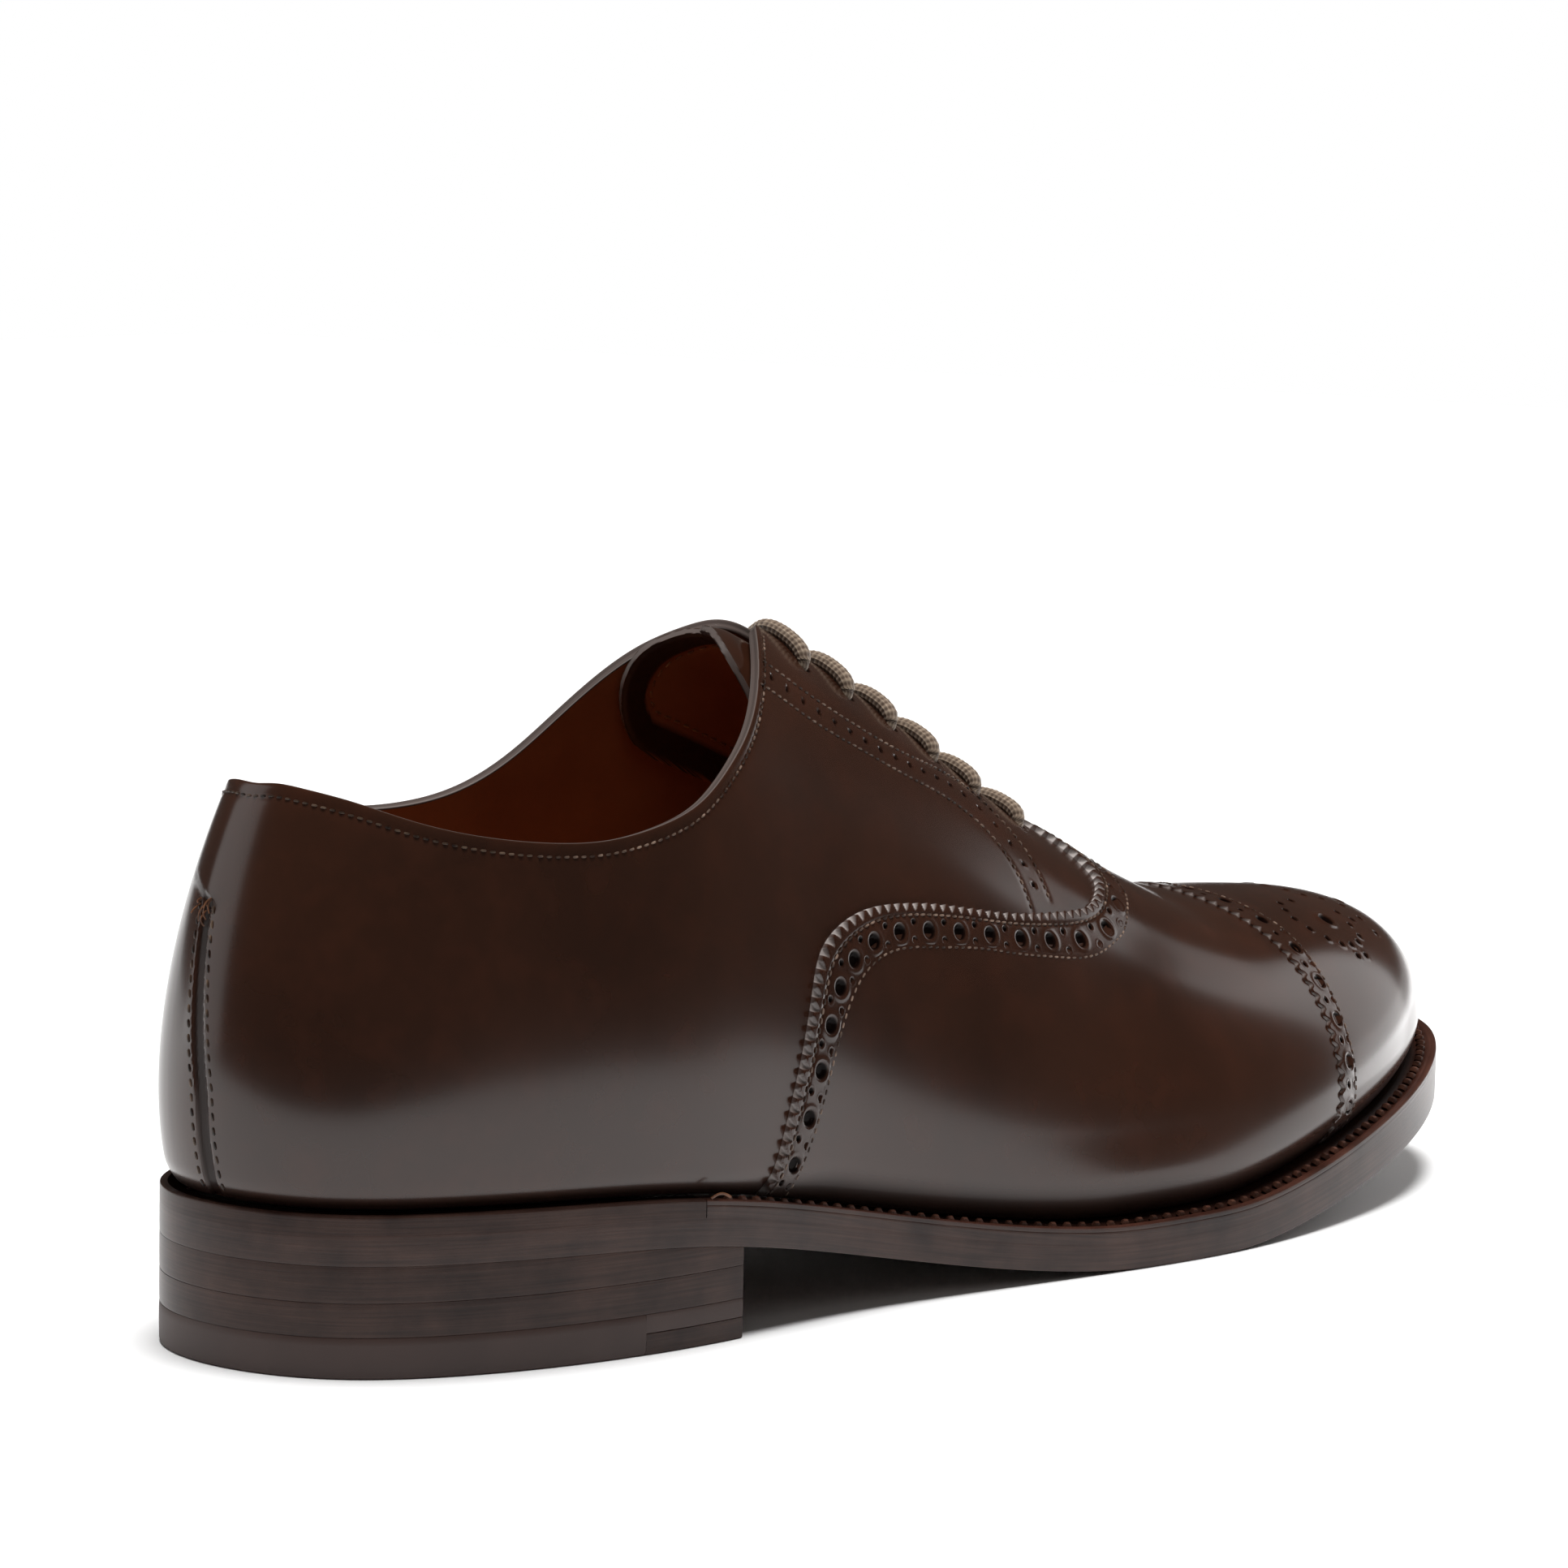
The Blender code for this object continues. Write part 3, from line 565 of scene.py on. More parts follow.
def calf():
    """Dark brown box calf, waxed and polished: close grain, a soft even gloss and cloudy dye.

    Punched pits, ditches and the leather by the welt are dull and get painted shade nearly to black; cut
    edges show the pale fibre.
    """
    mat, shader = finish_of("box_calf_dark_brown", 0.2, Coat_Weight=0.1, Coat_Roughness=0.12)
    spot = add(mat, "ShaderNodeTexCoord").outputs["Object"]
    cloud = add(mat, "ShaderNodeTexNoise", {"Vector": spot, "Scale": 1 / (38 * MM), "Detail": 3})
    mottle = add(mat, "ShaderNodeTexNoise", {"Vector": spot, "Scale": 1 / (7 * MM), "Detail": 2})
    grain = add(mat, "ShaderNodeTexNoise", {"Vector": spot, "Scale": 1 / (1.1 * MM), "Detail": 4})
    # Real pores are about 0.15 mm apart; these are three times as coarse, so that they show
    pores = add(mat, "ShaderNodeTexVoronoi", {"Vector": spot, "Scale": 1 / (0.45 * MM)})
    cut = add(mat, "ShaderNodeAttribute", attribute_name="cut").outputs["Fac"]
    pit = add(mat, "ShaderNodeAttribute", attribute_name="pit").outputs["Fac"]
    dye = add(mat, "ShaderNodeMix", {0: cloud.outputs["Fac"], 6: linear("#22130d"), 7: linear("#402519")},
              data_type="RGBA").outputs[2]
    red = add(mat, "ShaderNodeMapRange", {"Value": mottle.outputs["Fac"], "From Min": 0.45, "From Max": 0.75,
                                          "To Max": 0.25}).outputs["Result"]
    dye = add(mat, "ShaderNodeMix", {0: red, 6: dye, 7: linear("#4a281b")}, data_type="RGBA").outputs[2]
    dye = add(mat, "ShaderNodeMix", {0: cut, 6: dye, 7: linear("#b6aeaa")}, data_type="RGBA").outputs[2]
    # Painted shade: pits, creases, ditches and the leather by the welt blend to near black
    dye = add(mat, "ShaderNodeMix", {0: pit, 6: dye, 7: linear("#0d0605")}, data_type="RGBA").outputs[2]
    rough = add(mat, "ShaderNodeMapRange", {"Value": cloud.outputs["Fac"], "To Min": 0.16, "To Max": 0.24})
    rough = add(mat, "ShaderNodeMath", {0: pit, 1: 0.4, 2: rough.outputs["Result"]}, operation="MULTIPLY_ADD")
    shine = add(mat, "ShaderNodeMath", {0: pit, 1: -0.52, 2: 0.55}, operation="MULTIPLY_ADD")
    skin = add(mat, "ShaderNodeMath", {0: pores.outputs["Distance"], 1: 0.5, 2: grain.outputs["Fac"]},
               operation="MULTIPLY_ADD")
    bump = add(mat, "ShaderNodeBump", {"Height": skin.outputs["Value"], "Strength": 0.03,
                                       "Distance": 0.03 * MM})
    feed(mat, shader, {"Base Color": dye, "Roughness": rough.outputs["Value"],
                       "Specular IOR Level": shine.outputs["Value"], "Normal": bump.outputs["Normal"]})
    return mat


def lining_leather():
    """Vegetable-tanned lining: reddish tan, matt, with pores and a little handling dirt."""
    mat, shader = finish_of("lining_leather_tan", 0.55)
    spot = add(mat, "ShaderNodeTexCoord").outputs["Object"]
    cloud = add(mat, "ShaderNodeTexNoise", {"Vector": spot, "Scale": 1 / (20 * MM), "Detail": 4})
    grain = add(mat, "ShaderNodeTexNoise", {"Vector": spot, "Scale": 1 / (0.9 * MM), "Detail": 3})
    pit = add(mat, "ShaderNodeAttribute", attribute_name="pit").outputs["Fac"]
    tan = add(mat, "ShaderNodeMix", {0: cloud.outputs["Fac"], 6: linear("#7d4428"), 7: linear("#a96a42")},
              data_type="RGBA").outputs[2]
    tan = add(mat, "ShaderNodeMix", {0: pit, 6: tan, 7: linear("#2a140c")}, data_type="RGBA").outputs[2]
    bump = add(mat, "ShaderNodeBump", {"Height": grain.outputs["Fac"], "Strength": 0.4,
                                       "Distance": 0.06 * MM})
    feed(mat, shader, {"Base Color": tan, "Normal": bump.outputs["Normal"]})
    return mat


def edge_leather(name, dark, light, roughness, gloss):
    """Stacked sole leather, its edge stained and burnished: fine lines along it, a satin gloss."""
    mat, shader = finish_of(name, roughness)
    along = add(mat, "ShaderNodeAttribute", attribute_name="along").outputs["Fac"]
    level = add(mat, "ShaderNodeAttribute", attribute_name="level").outputs["Fac"]
    place = add(mat, "ShaderNodeCombineXYZ", {"X": along, "Y": level}).outputs["Vector"]
    spot = add(mat, "ShaderNodeTexCoord").outputs["Object"]
    fibre = add(mat, "ShaderNodeMapping", {"Vector": place, "Scale": (1 / (28 * MM), 1 / (0.55 * MM), 1)})
    lines = add(mat, "ShaderNodeTexNoise", {"Vector": fibre.outputs["Vector"], "Scale": 1, "Detail": 5,
                                            "Roughness": 0.65})
    cloud = add(mat, "ShaderNodeTexNoise", {"Vector": spot, "Scale": 1 / (9 * MM), "Detail": 4})
    share = add(mat, "ShaderNodeMath", {0: lines.outputs["Fac"], 1: cloud.outputs["Fac"]},
                operation="MULTIPLY")
    share = add(mat, "ShaderNodeMapRange", {"Value": share.outputs["Value"], "From Min": 0.12,
                                            "From Max": 0.42})
    pit = add(mat, "ShaderNodeAttribute", attribute_name="pit").outputs["Fac"]
    stain_and_shade = add(mat, "ShaderNodeMix", {0: share.outputs["Result"], 6: linear(dark), 7: linear(light)},
                data_type="RGBA").outputs[2]
    # Painted shade from the welt strip blends the edge to near black
    stain_and_shade = add(mat, "ShaderNodeMix", {0: pit, 6: stain_and_shade, 7: linear("#140b09")}, data_type="RGBA").outputs[2]
    shine = add(mat, "ShaderNodeMath", {0: pit, 1: -0.5, 2: gloss}, operation="MULTIPLY_ADD", use_clamp=True)
    bump = add(mat, "ShaderNodeBump", {"Height": lines.outputs["Fac"], "Strength": 0.5,
                                       "Distance": 0.07 * MM})
    feed(mat, shader, {"Base Color": stain_and_shade, "Specular IOR Level": shine.outputs["Value"],
                       "Normal": bump.outputs["Normal"]})
    return mat


def heel_rubber():
    """Moulded rubber top piece: dark brown, matt, with a fine ground edge."""
    mat, shader = finish_of("heel_rubber_brown", 0.55)
    spot = add(mat, "ShaderNodeTexCoord").outputs["Object"]
    grit = add(mat, "ShaderNodeTexNoise", {"Vector": spot, "Scale": 1 / (0.6 * MM), "Detail": 3})
    cloud = add(mat, "ShaderNodeTexNoise", {"Vector": spot, "Scale": 1 / (14 * MM), "Detail": 2})
    brown = add(mat, "ShaderNodeMix", {0: cloud.outputs["Fac"], 6: linear("#30211d"), 7: linear("#43312c")},
                data_type="RGBA").outputs[2]
    bump = add(mat, "ShaderNodeBump", {"Height": grit.outputs["Fac"], "Strength": 0.3,
                                       "Distance": 0.05 * MM})
    feed(mat, shader, {"Base Color": brown, "Normal": bump.outputs["Normal"]})
    return mat


def waxed_cotton():
    """Round braided cotton lace, waxed: taupe yarns in a fine slanting braid with pale worn flecks."""
    mat, shader = finish_of("lace_waxed_cotton", 0.6, Sheen_Weight=0.2)
    spot = add(mat, "ShaderNodeTexCoord").outputs["Object"]
    fleck = add(mat, "ShaderNodeTexNoise", {"Vector": spot, "Scale": 1 / (0.8 * MM), "Detail": 3})
    yarn = add(mat, "ShaderNodeAttribute", attribute_name="level").outputs["Fac"]
    share = add(mat, "ShaderNodeMath", {0: fleck.outputs["Fac"], 1: yarn}, operation="MULTIPLY")
    share = add(mat, "ShaderNodeMapRange", {"Value": share.outputs["Value"], "From Max": 0.65})
    taupe = add(mat, "ShaderNodeMix", {0: share.outputs["Result"], 6: linear("#463429"),
                                       7: linear("#bfab96")}, data_type="RGBA").outputs[2]
    feed(mat, shader, {"Base Color": taupe})
    return mat


def thread(name, dark, light):
    """Sewing thread: twisted, slightly waxed, worn pale in places."""
    mat, shader = finish_of(name, 0.5)
    spot = add(mat, "ShaderNodeTexCoord").outputs["Object"]
    worn = add(mat, "ShaderNodeTexNoise", {"Vector": spot, "Scale": 1 / (3 * MM), "Detail": 4})
    share = add(mat, "ShaderNodeMapRange", {"Value": worn.outputs["Fac"], "From Min": 0.42, "From Max": 0.7})
    shade = add(mat, "ShaderNodeMix", {0: share.outputs["Result"], 6: linear(dark), 7: linear(light)},
                data_type="RGBA").outputs[2]
    feed(mat, shader, {"Base Color": shade})
    return mat


CALF = calf()
LINING = lining_leather()
EDGE = edge_leather("heel_leather_edge", "#231512", "#46322b", 0.32, 0.26)
SOLE_EDGE = edge_leather("sole_leather_edge", "#241613", "#4a352e", 0.3, 0.32)
WELT = edge_leather("welt_leather", "#2a1610", "#4c2e25", 0.36, 0.35)
RUBBER = heel_rubber()
COTTON = waxed_cotton()
DARK_THREAD = thread("sewing_thread_brown", "#2e2019", "#937c6d")
WELT_THREAD = thread("welt_thread_brown", "#331f18", "#5a3a2e")
LINING_THREAD = thread("lining_thread_tan", "#7a4a2c", "#b07a4e")
COLLAR_THREAD = thread("collar_thread_dark", "#1e130e", "#6b5849")
FRAYED_THREAD = thread("thread_end_tan", "#5e3d2a", "#936548")


def path_on(at, count, out, mirror):
    """Points and normals along a seam, `out` off the last, on the inner side if mirror is set."""
    turn, up = at(np.linspace(0, 1, count))
    return lay(2 - turn if mirror else turn, up, out)


def abreast(edge, row):
    """A sewn row with its parameter changed, so that its points lie square across from the edge's."""
    share = np.linspace(0, 1, 500)
    gap = np.linalg.norm(last_surface(*edge(share))[:, None] - last_surface(*row(share))[None], axis=-1)
    out = share[gap.argmin(axis=1)]
    back = np.interp(share, np.maximum.accumulate(share[gap.argmin(axis=0)]), share)
    pair = np.convolve(np.pad((out + back) / 2, 30, mode="edge"), np.full(61, 1 / 61), "valid")
    pair = np.maximum.accumulate(pair)
    pair = (pair - pair[0]) / (pair[-1] - pair[0])
    return lambda place: row(np.interp(place, share, pair))


def along_path(path, run, place):
    """Rows of a path at given distances along it."""
    return np.stack([np.interp(place, run, path[:, k]) for k in range(3)], -1)


def stitches(paths, length, pitch, radius, slant=0.1):
    """Threads of sewn rows: each stitch is a spindle along its path, with both ends sunk in the leather."""
    rings, sides = 6, 6
    x = np.linspace(-0.5, 0.5, rings)[:, None]
    angle = np.linspace(0, 2 * np.pi, sides, endpoint=False)[None, :]
    thick = radius * np.sqrt(1 - (2 * x)**4)
    arch = radius * (0.55 - 1.1 * (2 * x)**4)
    made = []
    for points, normal in paths:
        run = run_of(points)
        count = max(int(run[-1] / pitch), 1)
        middle = (np.arange(count) + 0.5) * run[-1] / count
        here = along_path(points, run, middle)
        rise = along_path(normal, run, middle)
        way = along_path(points, run, middle + 0.3 * MM) - along_path(points, run, middle - 0.3 * MM)
        way = way / np.linalg.norm(way, axis=1)[:, None]
        side = np.cross(rise, way)
        way = way * np.cos(slant) + side * np.sin(slant)
        side = np.cross(rise, way)
        shape = (x * length)[..., None] * way[:, None, None]
        shape = shape + (thick * np.cos(angle))[..., None] * side[:, None, None]
        shape = shape + (thick * np.sin(angle) + arch)[..., None] * rise[:, None, None]
        made.append((here[:, None, None] + shape).reshape(-1, 3))
    points = np.concatenate(made)
    one = grid_faces(rings, sides, wrap=True)
    faces = one[None] + (np.arange(len(points) // (rings * sides)) * rings * sides)[:, None, None]
    return {"points": points, "faces": faces.reshape(-1, 4), "mat": 0, "values": {}}


def tube(path, radius, sides=8, **values):
    """A round cord along a path of points, closed at both ends; radius may change along it."""
    path = np.asarray(path)
    way = np.gradient(path, axis=0)
    way = way / np.linalg.norm(way, axis=1)[:, None]
    across = np.cross(way, (0.3, 0.2, 1.0))
    across = across / np.linalg.norm(across, axis=1)[:, None]
    third = np.cross(across, way)
    angle = np.linspace(0, 2 * np.pi, sides, endpoint=False)
    ring = across[:, None] * np.cos(angle)[None, :, None] + third[:, None] * np.sin(angle)[None, :, None]
    ends = ((1, 1), (0, 0))
    radius = np.pad(np.broadcast_to(radius, (len(path), sides)), ends)
    path = np.pad(path, ends, "edge")
    ring = np.pad(ring, (*ends, (0, 0)), "edge")
    values = {key: np.pad(v, ends, "edge") for key, v in values.items()}
    return patch(path[:, None] + ring * radius[..., None], ring, wrap=True, **values)


wing_edge, wing_length = seam(WING_EDGE)
wing_row = abreast(wing_edge, seam(WING_ROW)[0])
cap_edge, cap_length = seam(CAP_EDGE)
cap_row = abreast(cap_edge, seam(CAP_ROW)[0])
eyelet_turns = FIRST_BAR + BAR_STEP * np.arange(LACE_BARS)


def between(edge, row, share, w, mirror):
    """Turn and up of a point of a band: share runs along it, w from its cut edge (0) to its sewn row (1).

    With mirror set, the point is on the inner side.
    """
    turn_a, up_a = edge(share)
    turn_b, up_b = row(share)
    turn = turn_a + (turn_b - turn_a) * w
    return 2 - turn if mirror else turn, up_a + (up_b - up_a) * w


def band_path(edge, row, w, out, mirror):
    """Path of a sewn row along a band."""
    return lay(*between(edge, row, np.linspace(0.002, 1.0, 500), w, mirror), out)


def brogue_band(edge, row, length, out, under, mirror, hole_radius, pin_radius, pitch, middle, sewn, pale):
    """A punched band: gimped teeth, large holes with pairs of pinholes, furrows of its sewn rows.

    The teeth are what notches leave: each notch is a bevelled V that is widest at the cut edge. `pale` is how
    much fibre the notches show; towards the welt less of it shows, which is painted shade, and the band's cut
    wall is darkened by 1 - pale as painted shade.
    """
    count = int(length / BAND_STEP)
    share = np.linspace(0, 1, count)[None, :]
    width = np.linalg.norm(last_surface(*edge(share)) - last_surface(*row(share)), axis=-1)
    teeth = np.array((0, 0.12, 0.28, 0.46, 0.64, 0.82, 1.0, 1.2, 1.4, 1.6, 1.8)) * MM / width.mean()
    w = np.concatenate([teeth, np.linspace(teeth[-1], 1.08, 36)[1:]])[:, None]
    away = w * width
    turn, up = between(edge, row, share, w + 0 * share, mirror)
    up = np.minimum(up, 1.0)
    base = last_surface(turn, up)
    big = (np.arange(int(length / pitch)) + 0.98) * pitch / length
    big = big[big < 0.995]
    small = np.concatenate([[0.45 * pitch / length], (big[1:] + big[:-1]) / 2])

    def spots(shares, at_w):
        return last_surface(*between(edge, row, shares, at_w, mirror))

    relief, pit = punched(base, spots(big, middle), hole_radius, 0.65 * MM)
    pins = np.concatenate([spots(small, middle - 0.2), spots(small, middle + 0.2)])
    pin_relief, pin_pit = punched(base, pins, pin_radius, 0.5 * MM)
    relief = relief + pin_relief
    pit = np.maximum(pit, pin_pit)
    groove = sum(bell(away - place * width, 0.45 * MM) for place in sewn)
    relief = relief - 0.14 * MM * groove - 0.3 * MM * smooth(away, width + 0.3 * MM, width + 0.9 * MM)

    phase = np.abs(np.mod(share * length / TOOTH_PITCH, 1) - 0.5)
    bevel = np.clip(1 - away / TOOTH_DEPTH, 0, 1)
    notch = smooth(phase, 0.38 * bevel, 0.38 * bevel - 0.12) * (bevel > 0)
    crest = smooth(away, 0.4 * MM, 0) * (1 - notch)
    outs = out + (relief - notch * bevel * (out - under - 0.05 * MM) - 0.12 * MM * crest)
    turn = np.concatenate([turn[:1], turn])
    up = np.concatenate([up[:1], up])
    outs = np.concatenate([np.full((1, count), under - 0.1 * MM), outs])
    # Less fibre towards the welt: painted shade
    fibre = pale * (0.5 + 0.5 * smooth(share, 0.2, 0.4))
    cut = np.concatenate([0.33 * fibre, fibre * notch])
    # Painted shade on the cut wall (1 - pale), in the holes and by the welt
    pit = np.concatenate([np.full((1, count), 1 - pale), np.maximum(pit, painted_crevice_shade(turn[1:], up[1:]))])
    return leather(turn, up, outs, cut=cut, pit=pit)


def make_band(name, edge, row, length, out, under, style):
    """Both halves of a punched band and the threads of its sewn rows."""
    halves = (False, True)
    bands = [brogue_band(edge, row, length, out, under, mirror, **style) for mirror in halves]
    rows = [band_path(edge, row, w, out - 0.12 * MM, mirror) for mirror in halves for w in style["sewn"]]
    add_piece(name + "_band", bands, [CALF], sharp=1.1)
    add_piece(name + "_stitches", [stitches(rows, *BAND_STITCH)], [DARK_THREAD])


def seam_groove(points, paths, width, depth):
    """The shallow furrow that tight sewing pulls into the leather along each path."""
    return -depth * bell(nearest(points, np.concatenate([p for p, _ in paths])), width)


def back_line(up):
    """Turn of the back seam at each height: it leans a little to the inner side at the top."""
    return np.interp(up, (0.0, 0.15, 0.41, 0.5), (0.002, 0.0, -0.016, -0.018))


def back_seam(turn, up):
    """Depth and painted shade of the open ditch up the back and of the step where the wrapping quarter ends,
    and the rise of the quarter that wraps over its top.

    The outer quarter wraps: its end stops in a step on the inner side, and fades out on the outer side.
    """
    off = (turn - back_line(up)) * BACK_SPREAD
    low = 0.385 - 0.02 * smooth(off, -8 * MM, 4 * MM)
    covered = smooth(up, low - 0.006, low + 0.006)
    ditch = smooth(np.abs(off), 1.5 * MM, 0.9 * MM) * (1 - covered)
    step = bell(up - low, 0.005) * smooth(off, -9.8 * MM, -9.0 * MM) * smooth(off, 4 * MM, 1 * MM)
    wrap = covered * smooth(off, -9.8 * MM, -9.0 * MM) * smooth(off, 5 * MM, -1 * MM)
    return ditch, np.maximum(ditch, 0.8 * step), 0.25 * MM * wrap


def make_quarters():
    """Both quarters round the heel, their cut top edge, and the lining inside them."""
    marks = ((0.0, 30), (0.03, 72), (FACING_START, 250), (QUARTER_END, 0))
    side = [np.linspace(a, b, n, endpoint=False) for (a, n), (b, _) in zip(marks, marks[1:])]
    side = np.append(np.concatenate(side), QUARTER_END)
    turn = np.concatenate([-side[:0:-1], side])[None, :]
    top = topline(turn)
    foot = np.interp(np.abs(turn), *np.array(QUARTER_FOOT).T)
    up = foot + (top - foot) * np.linspace(0, 1, 120)[:, None]
    turn = np.broadcast_to(turn, up.shape)
    base = last_surface(turn, up)
    facing = np.abs(turn[0]) > FACING_START

    # Furrows, pinholes and eyelets of the facings
    relief = np.zeros(up.shape)
    pit = np.zeros(up.shape)
    rows = [seam(r)[0] for r in FACING_ROWS]
    front = base[:, facing]
    paths = [path_on(r, 140, 0, m) for r in rows for m in (False, True)]
    shares = (np.arange(19) + 0.7) / 19.6
    pins = np.concatenate([last_surface(*between(*rows, shares, 0.5, mirror)) for mirror in (False, True)])
    eyelets = np.concatenate([last_surface(sign * eyelet_turns, EYELET_UP) for sign in (1, -1)])
    pin_relief, pin_pit = punched(front, pins, 0.62 * MM, 0.6 * MM)
    eye_relief, eye_pit = punched(front, eyelets, 1.5 * MM, 1.6 * MM)
    pull = -0.35 * MM * bell(nearest(front, eyelets), 4 * MM)
    relief[:, facing] = pin_relief + eye_relief + pull + seam_groove(front, paths, 0.55 * MM, 0.12 * MM)
    # Painted shade in the pinholes and eyelets
    pit[:, facing] = np.maximum(pin_pit, eye_pit)

    # Collar row, back seam and the end of the quarter that wraps over it
    below = (top - up) * up_speed(turn[:1], top)
    collar = below - COLLAR_ROW
    relief = relief - 0.13 * MM * bell(collar, 0.6 * MM) * (np.abs(turn) < 0.42)
    ditch, shade, wrap = back_seam(turn, up)
    relief = relief + wrap - 0.55 * MM * ditch
    # Painted shade in the back ditch, at the wrapped quarter's step and by the welt
    pit = np.maximum(np.maximum(pit, 0.7 * shade), painted_crevice_shade(turn, up))
    outer = leather(turn, up, relief, pit=pit)

    # Rounded cut edge from the outer face over to the lining
    edge_turn, edge_up = turn[-1], top[0]
    normal = last_normal(edge_turn, edge_up)
    rise = last_surface(edge_turn, edge_up) - last_surface(edge_turn, edge_up - 1e-3)
    rise = rise / np.linalg.norm(rise, axis=-1)[:, None]
    across = np.array((0, 0.02, 0.06, 0.12, 0.2, 0.26, 0.4, 0.55, 0.66, 0.74, 0.84, 0.93, 0.98, 1.0))[:, None]
    start = relief[-1] + drape(edge_turn, edge_up)
    depth = start - (WALL + start) * across
    lift = 0.5 * MM * np.sqrt(np.maximum(1 - np.abs(2 * across - 1)**5, 0))
    lift = lift - 0.12 * MM * bell(across - 0.47, 0.2)
    rim = last_surface(edge_turn, edge_up) + normal * depth[..., None] + rise * lift[..., None]
    outward = rise + normal * (1 - 2 * across)[..., None]
    raw = smooth(across, 0.16, 0.22) * smooth(across, 0.84, 0.76) + 0 * depth
    # The two thin pale lines near both edges of the rim are painted highlights, and its darker middle is
    # painted shade; the flat between them shows the grey cut fibre.
    lines = 0.35 * bell(across - 0.13, 0.04) + 0.8 * bell(across - 0.9, 0.05)
    edge = patch(rim, outward, cut=0.2 * raw + lines, pit=0.35 * raw * bell(across - 0.4, 0.2))
    add_piece("quarters", [outer, edge], [CALF], ["upper"])

    # Lining
    sparse = np.linspace(-QUARTER_END, QUARTER_END, 260)[None, :]
    level = topline(sparse) * np.linspace(0, 1, 48)[:, None]
    inner = lined(np.broadcast_to(sparse, level.shape), level)
    ahead = np.linspace(QUARTER_END, 2 - QUARTER_END, 130)[None, :]
    level = np.linspace(0, 1, 40)[:, None]
    toe = lined(*np.broadcast_arrays(ahead, level))
    add_piece("lining", [inner, toe], [LINING])

    # Thread
    collar_turn = np.linspace(-0.398, 0.398, 900)
    collar_top = topline(collar_turn)
    collar_up = collar_top - COLLAR_ROW / up_speed(collar_turn, collar_top)
    lifted = back_seam(collar_turn, collar_up)[2]
    collar_points, collar_normal = lay(collar_turn, collar_up, lifted - 0.1 * MM)
    front_part = collar_turn > PALE_COLLAR_START
    collar_row = collar_points[~front_part], collar_normal[~front_part]
    facing_rows = [(p - n * 0.1 * MM, n) for p, n in paths]
    facing_rows.append((collar_points[front_part], collar_normal[front_part]))
    height = np.linspace(0.01, 0.368, 200)
    asides = np.array((-BACK_ROW, BACK_ROW)) / BACK_SPREAD
    back = [lay(back_line(height) + aside, height, -0.05 * MM) for aside in asides]
    rows = [stitches([collar_row], *FINE_STITCH), stitches(back, *BACK_STITCH)]
    add_piece("collar_stitches", rows, [COLLAR_THREAD])
    add_piece("quarter_stitches", [stitches(facing_rows, *FINE_STITCH)], [DARK_THREAD])


def make_vamp():
    """The vamp from wing seam to toe cap, over the ridge in one piece, and its punched band."""
    turn = np.concatenate([np.linspace(VAMP_START, 0.64, 150), np.linspace(0.642, VAMP_END, 90)])[None, :]
    top = np.where(turn < VAMP_TOP[-1][0], np.minimum(spline(*zip(*VAMP_TOP))(turn), 1.0), 1.0)
    up = np.maximum(top, 0) * np.linspace(0, 1, 90)[:, None]
    turn = np.broadcast_to(turn, up.shape)
    hidden = smooth((top - up) * up_speed(turn[:1], top), 1.6 * MM, 0.4 * MM) * smooth(turn, 0.668, 0.655)
    out = VAMP_OUT - 0.45 * MM * hidden
    patches = [leather(side, up, out, pit=painted_crevice_shade(side, up)) for side in (turn, 2 - turn)]
    add_piece("vamp_dressed", patches, [CALF], ["vamp"])
    make_band("vamp", wing_edge, wing_row, wing_length, VAMP_OUT, 0.0, WING_STYLE)


def make_cap():
    """The toe cap with its punched medallion and band."""
    up = np.concatenate([np.linspace(0, 0.3, 36, endpoint=False), np.linspace(0.3, 1, 165)])[:, None]
    row_turn = np.interp(up, *np.array(CAP_ROW).T[::-1])
    q = np.linspace(-1.03, 1.03, 440)[None, :]
    turn = 1 + q * (1 - row_turn)
    up = np.broadcast_to(up, turn.shape)
    base = last_surface(turn, up)
    hidden = smooth(np.abs(q), 1.006, 1.024) + 0 * turn
    ridge_x = last_surface(CAP_EDGE[-1][0], 1.0)[0]
    relief = np.zeros(turn.shape)
    pit = np.zeros(turn.shape)
    places = base[up > 0.3]
    along = places[:, 0] - ridge_x
    aside = places[:, 1] - ridge_at(np.clip(places[:, 0], 0, 0.86 * SOLE_LENGTH))[:, 1]
    # Medallion holes: dents with painted shade in them
    for rows, radius in MEDALLION_RADII:
        holes = np.array(rows) * MM
        found = [np.hypot(along - a, aside - sign * b).argmin() for a, b in holes for sign in (-1, 1)]
        dent, hole = punched(base, places[found], radius, 0.6 * MM, 0.16)
        relief += dent
        pit = np.maximum(pit, hole)
    pit = np.maximum(pit, painted_crevice_shade(turn, up))
    patches = [leather(turn, up, CAP_OUT + relief - 0.45 * MM * hidden, pit=pit)]
    add_piece("toe_cap_dressed", patches, [CALF], ["toe_cap"])
    make_band("cap", cap_edge, cap_row, cap_length, CAP_OUT, VAMP_OUT - 0.35 * MM, CAP_STYLE)


TONGUE_HALF = 30 * MM
TONGUE_CORNER = 9 * MM
TONGUE_ALONG = 300 * MM
TONGUE_ACROSS = 70 * MM
TONGUE_REACH = 95 * MM
TONGUE_OUT = -(WALL + 0.9 * MM)
TONGUE_ROW = 5.6 * MM
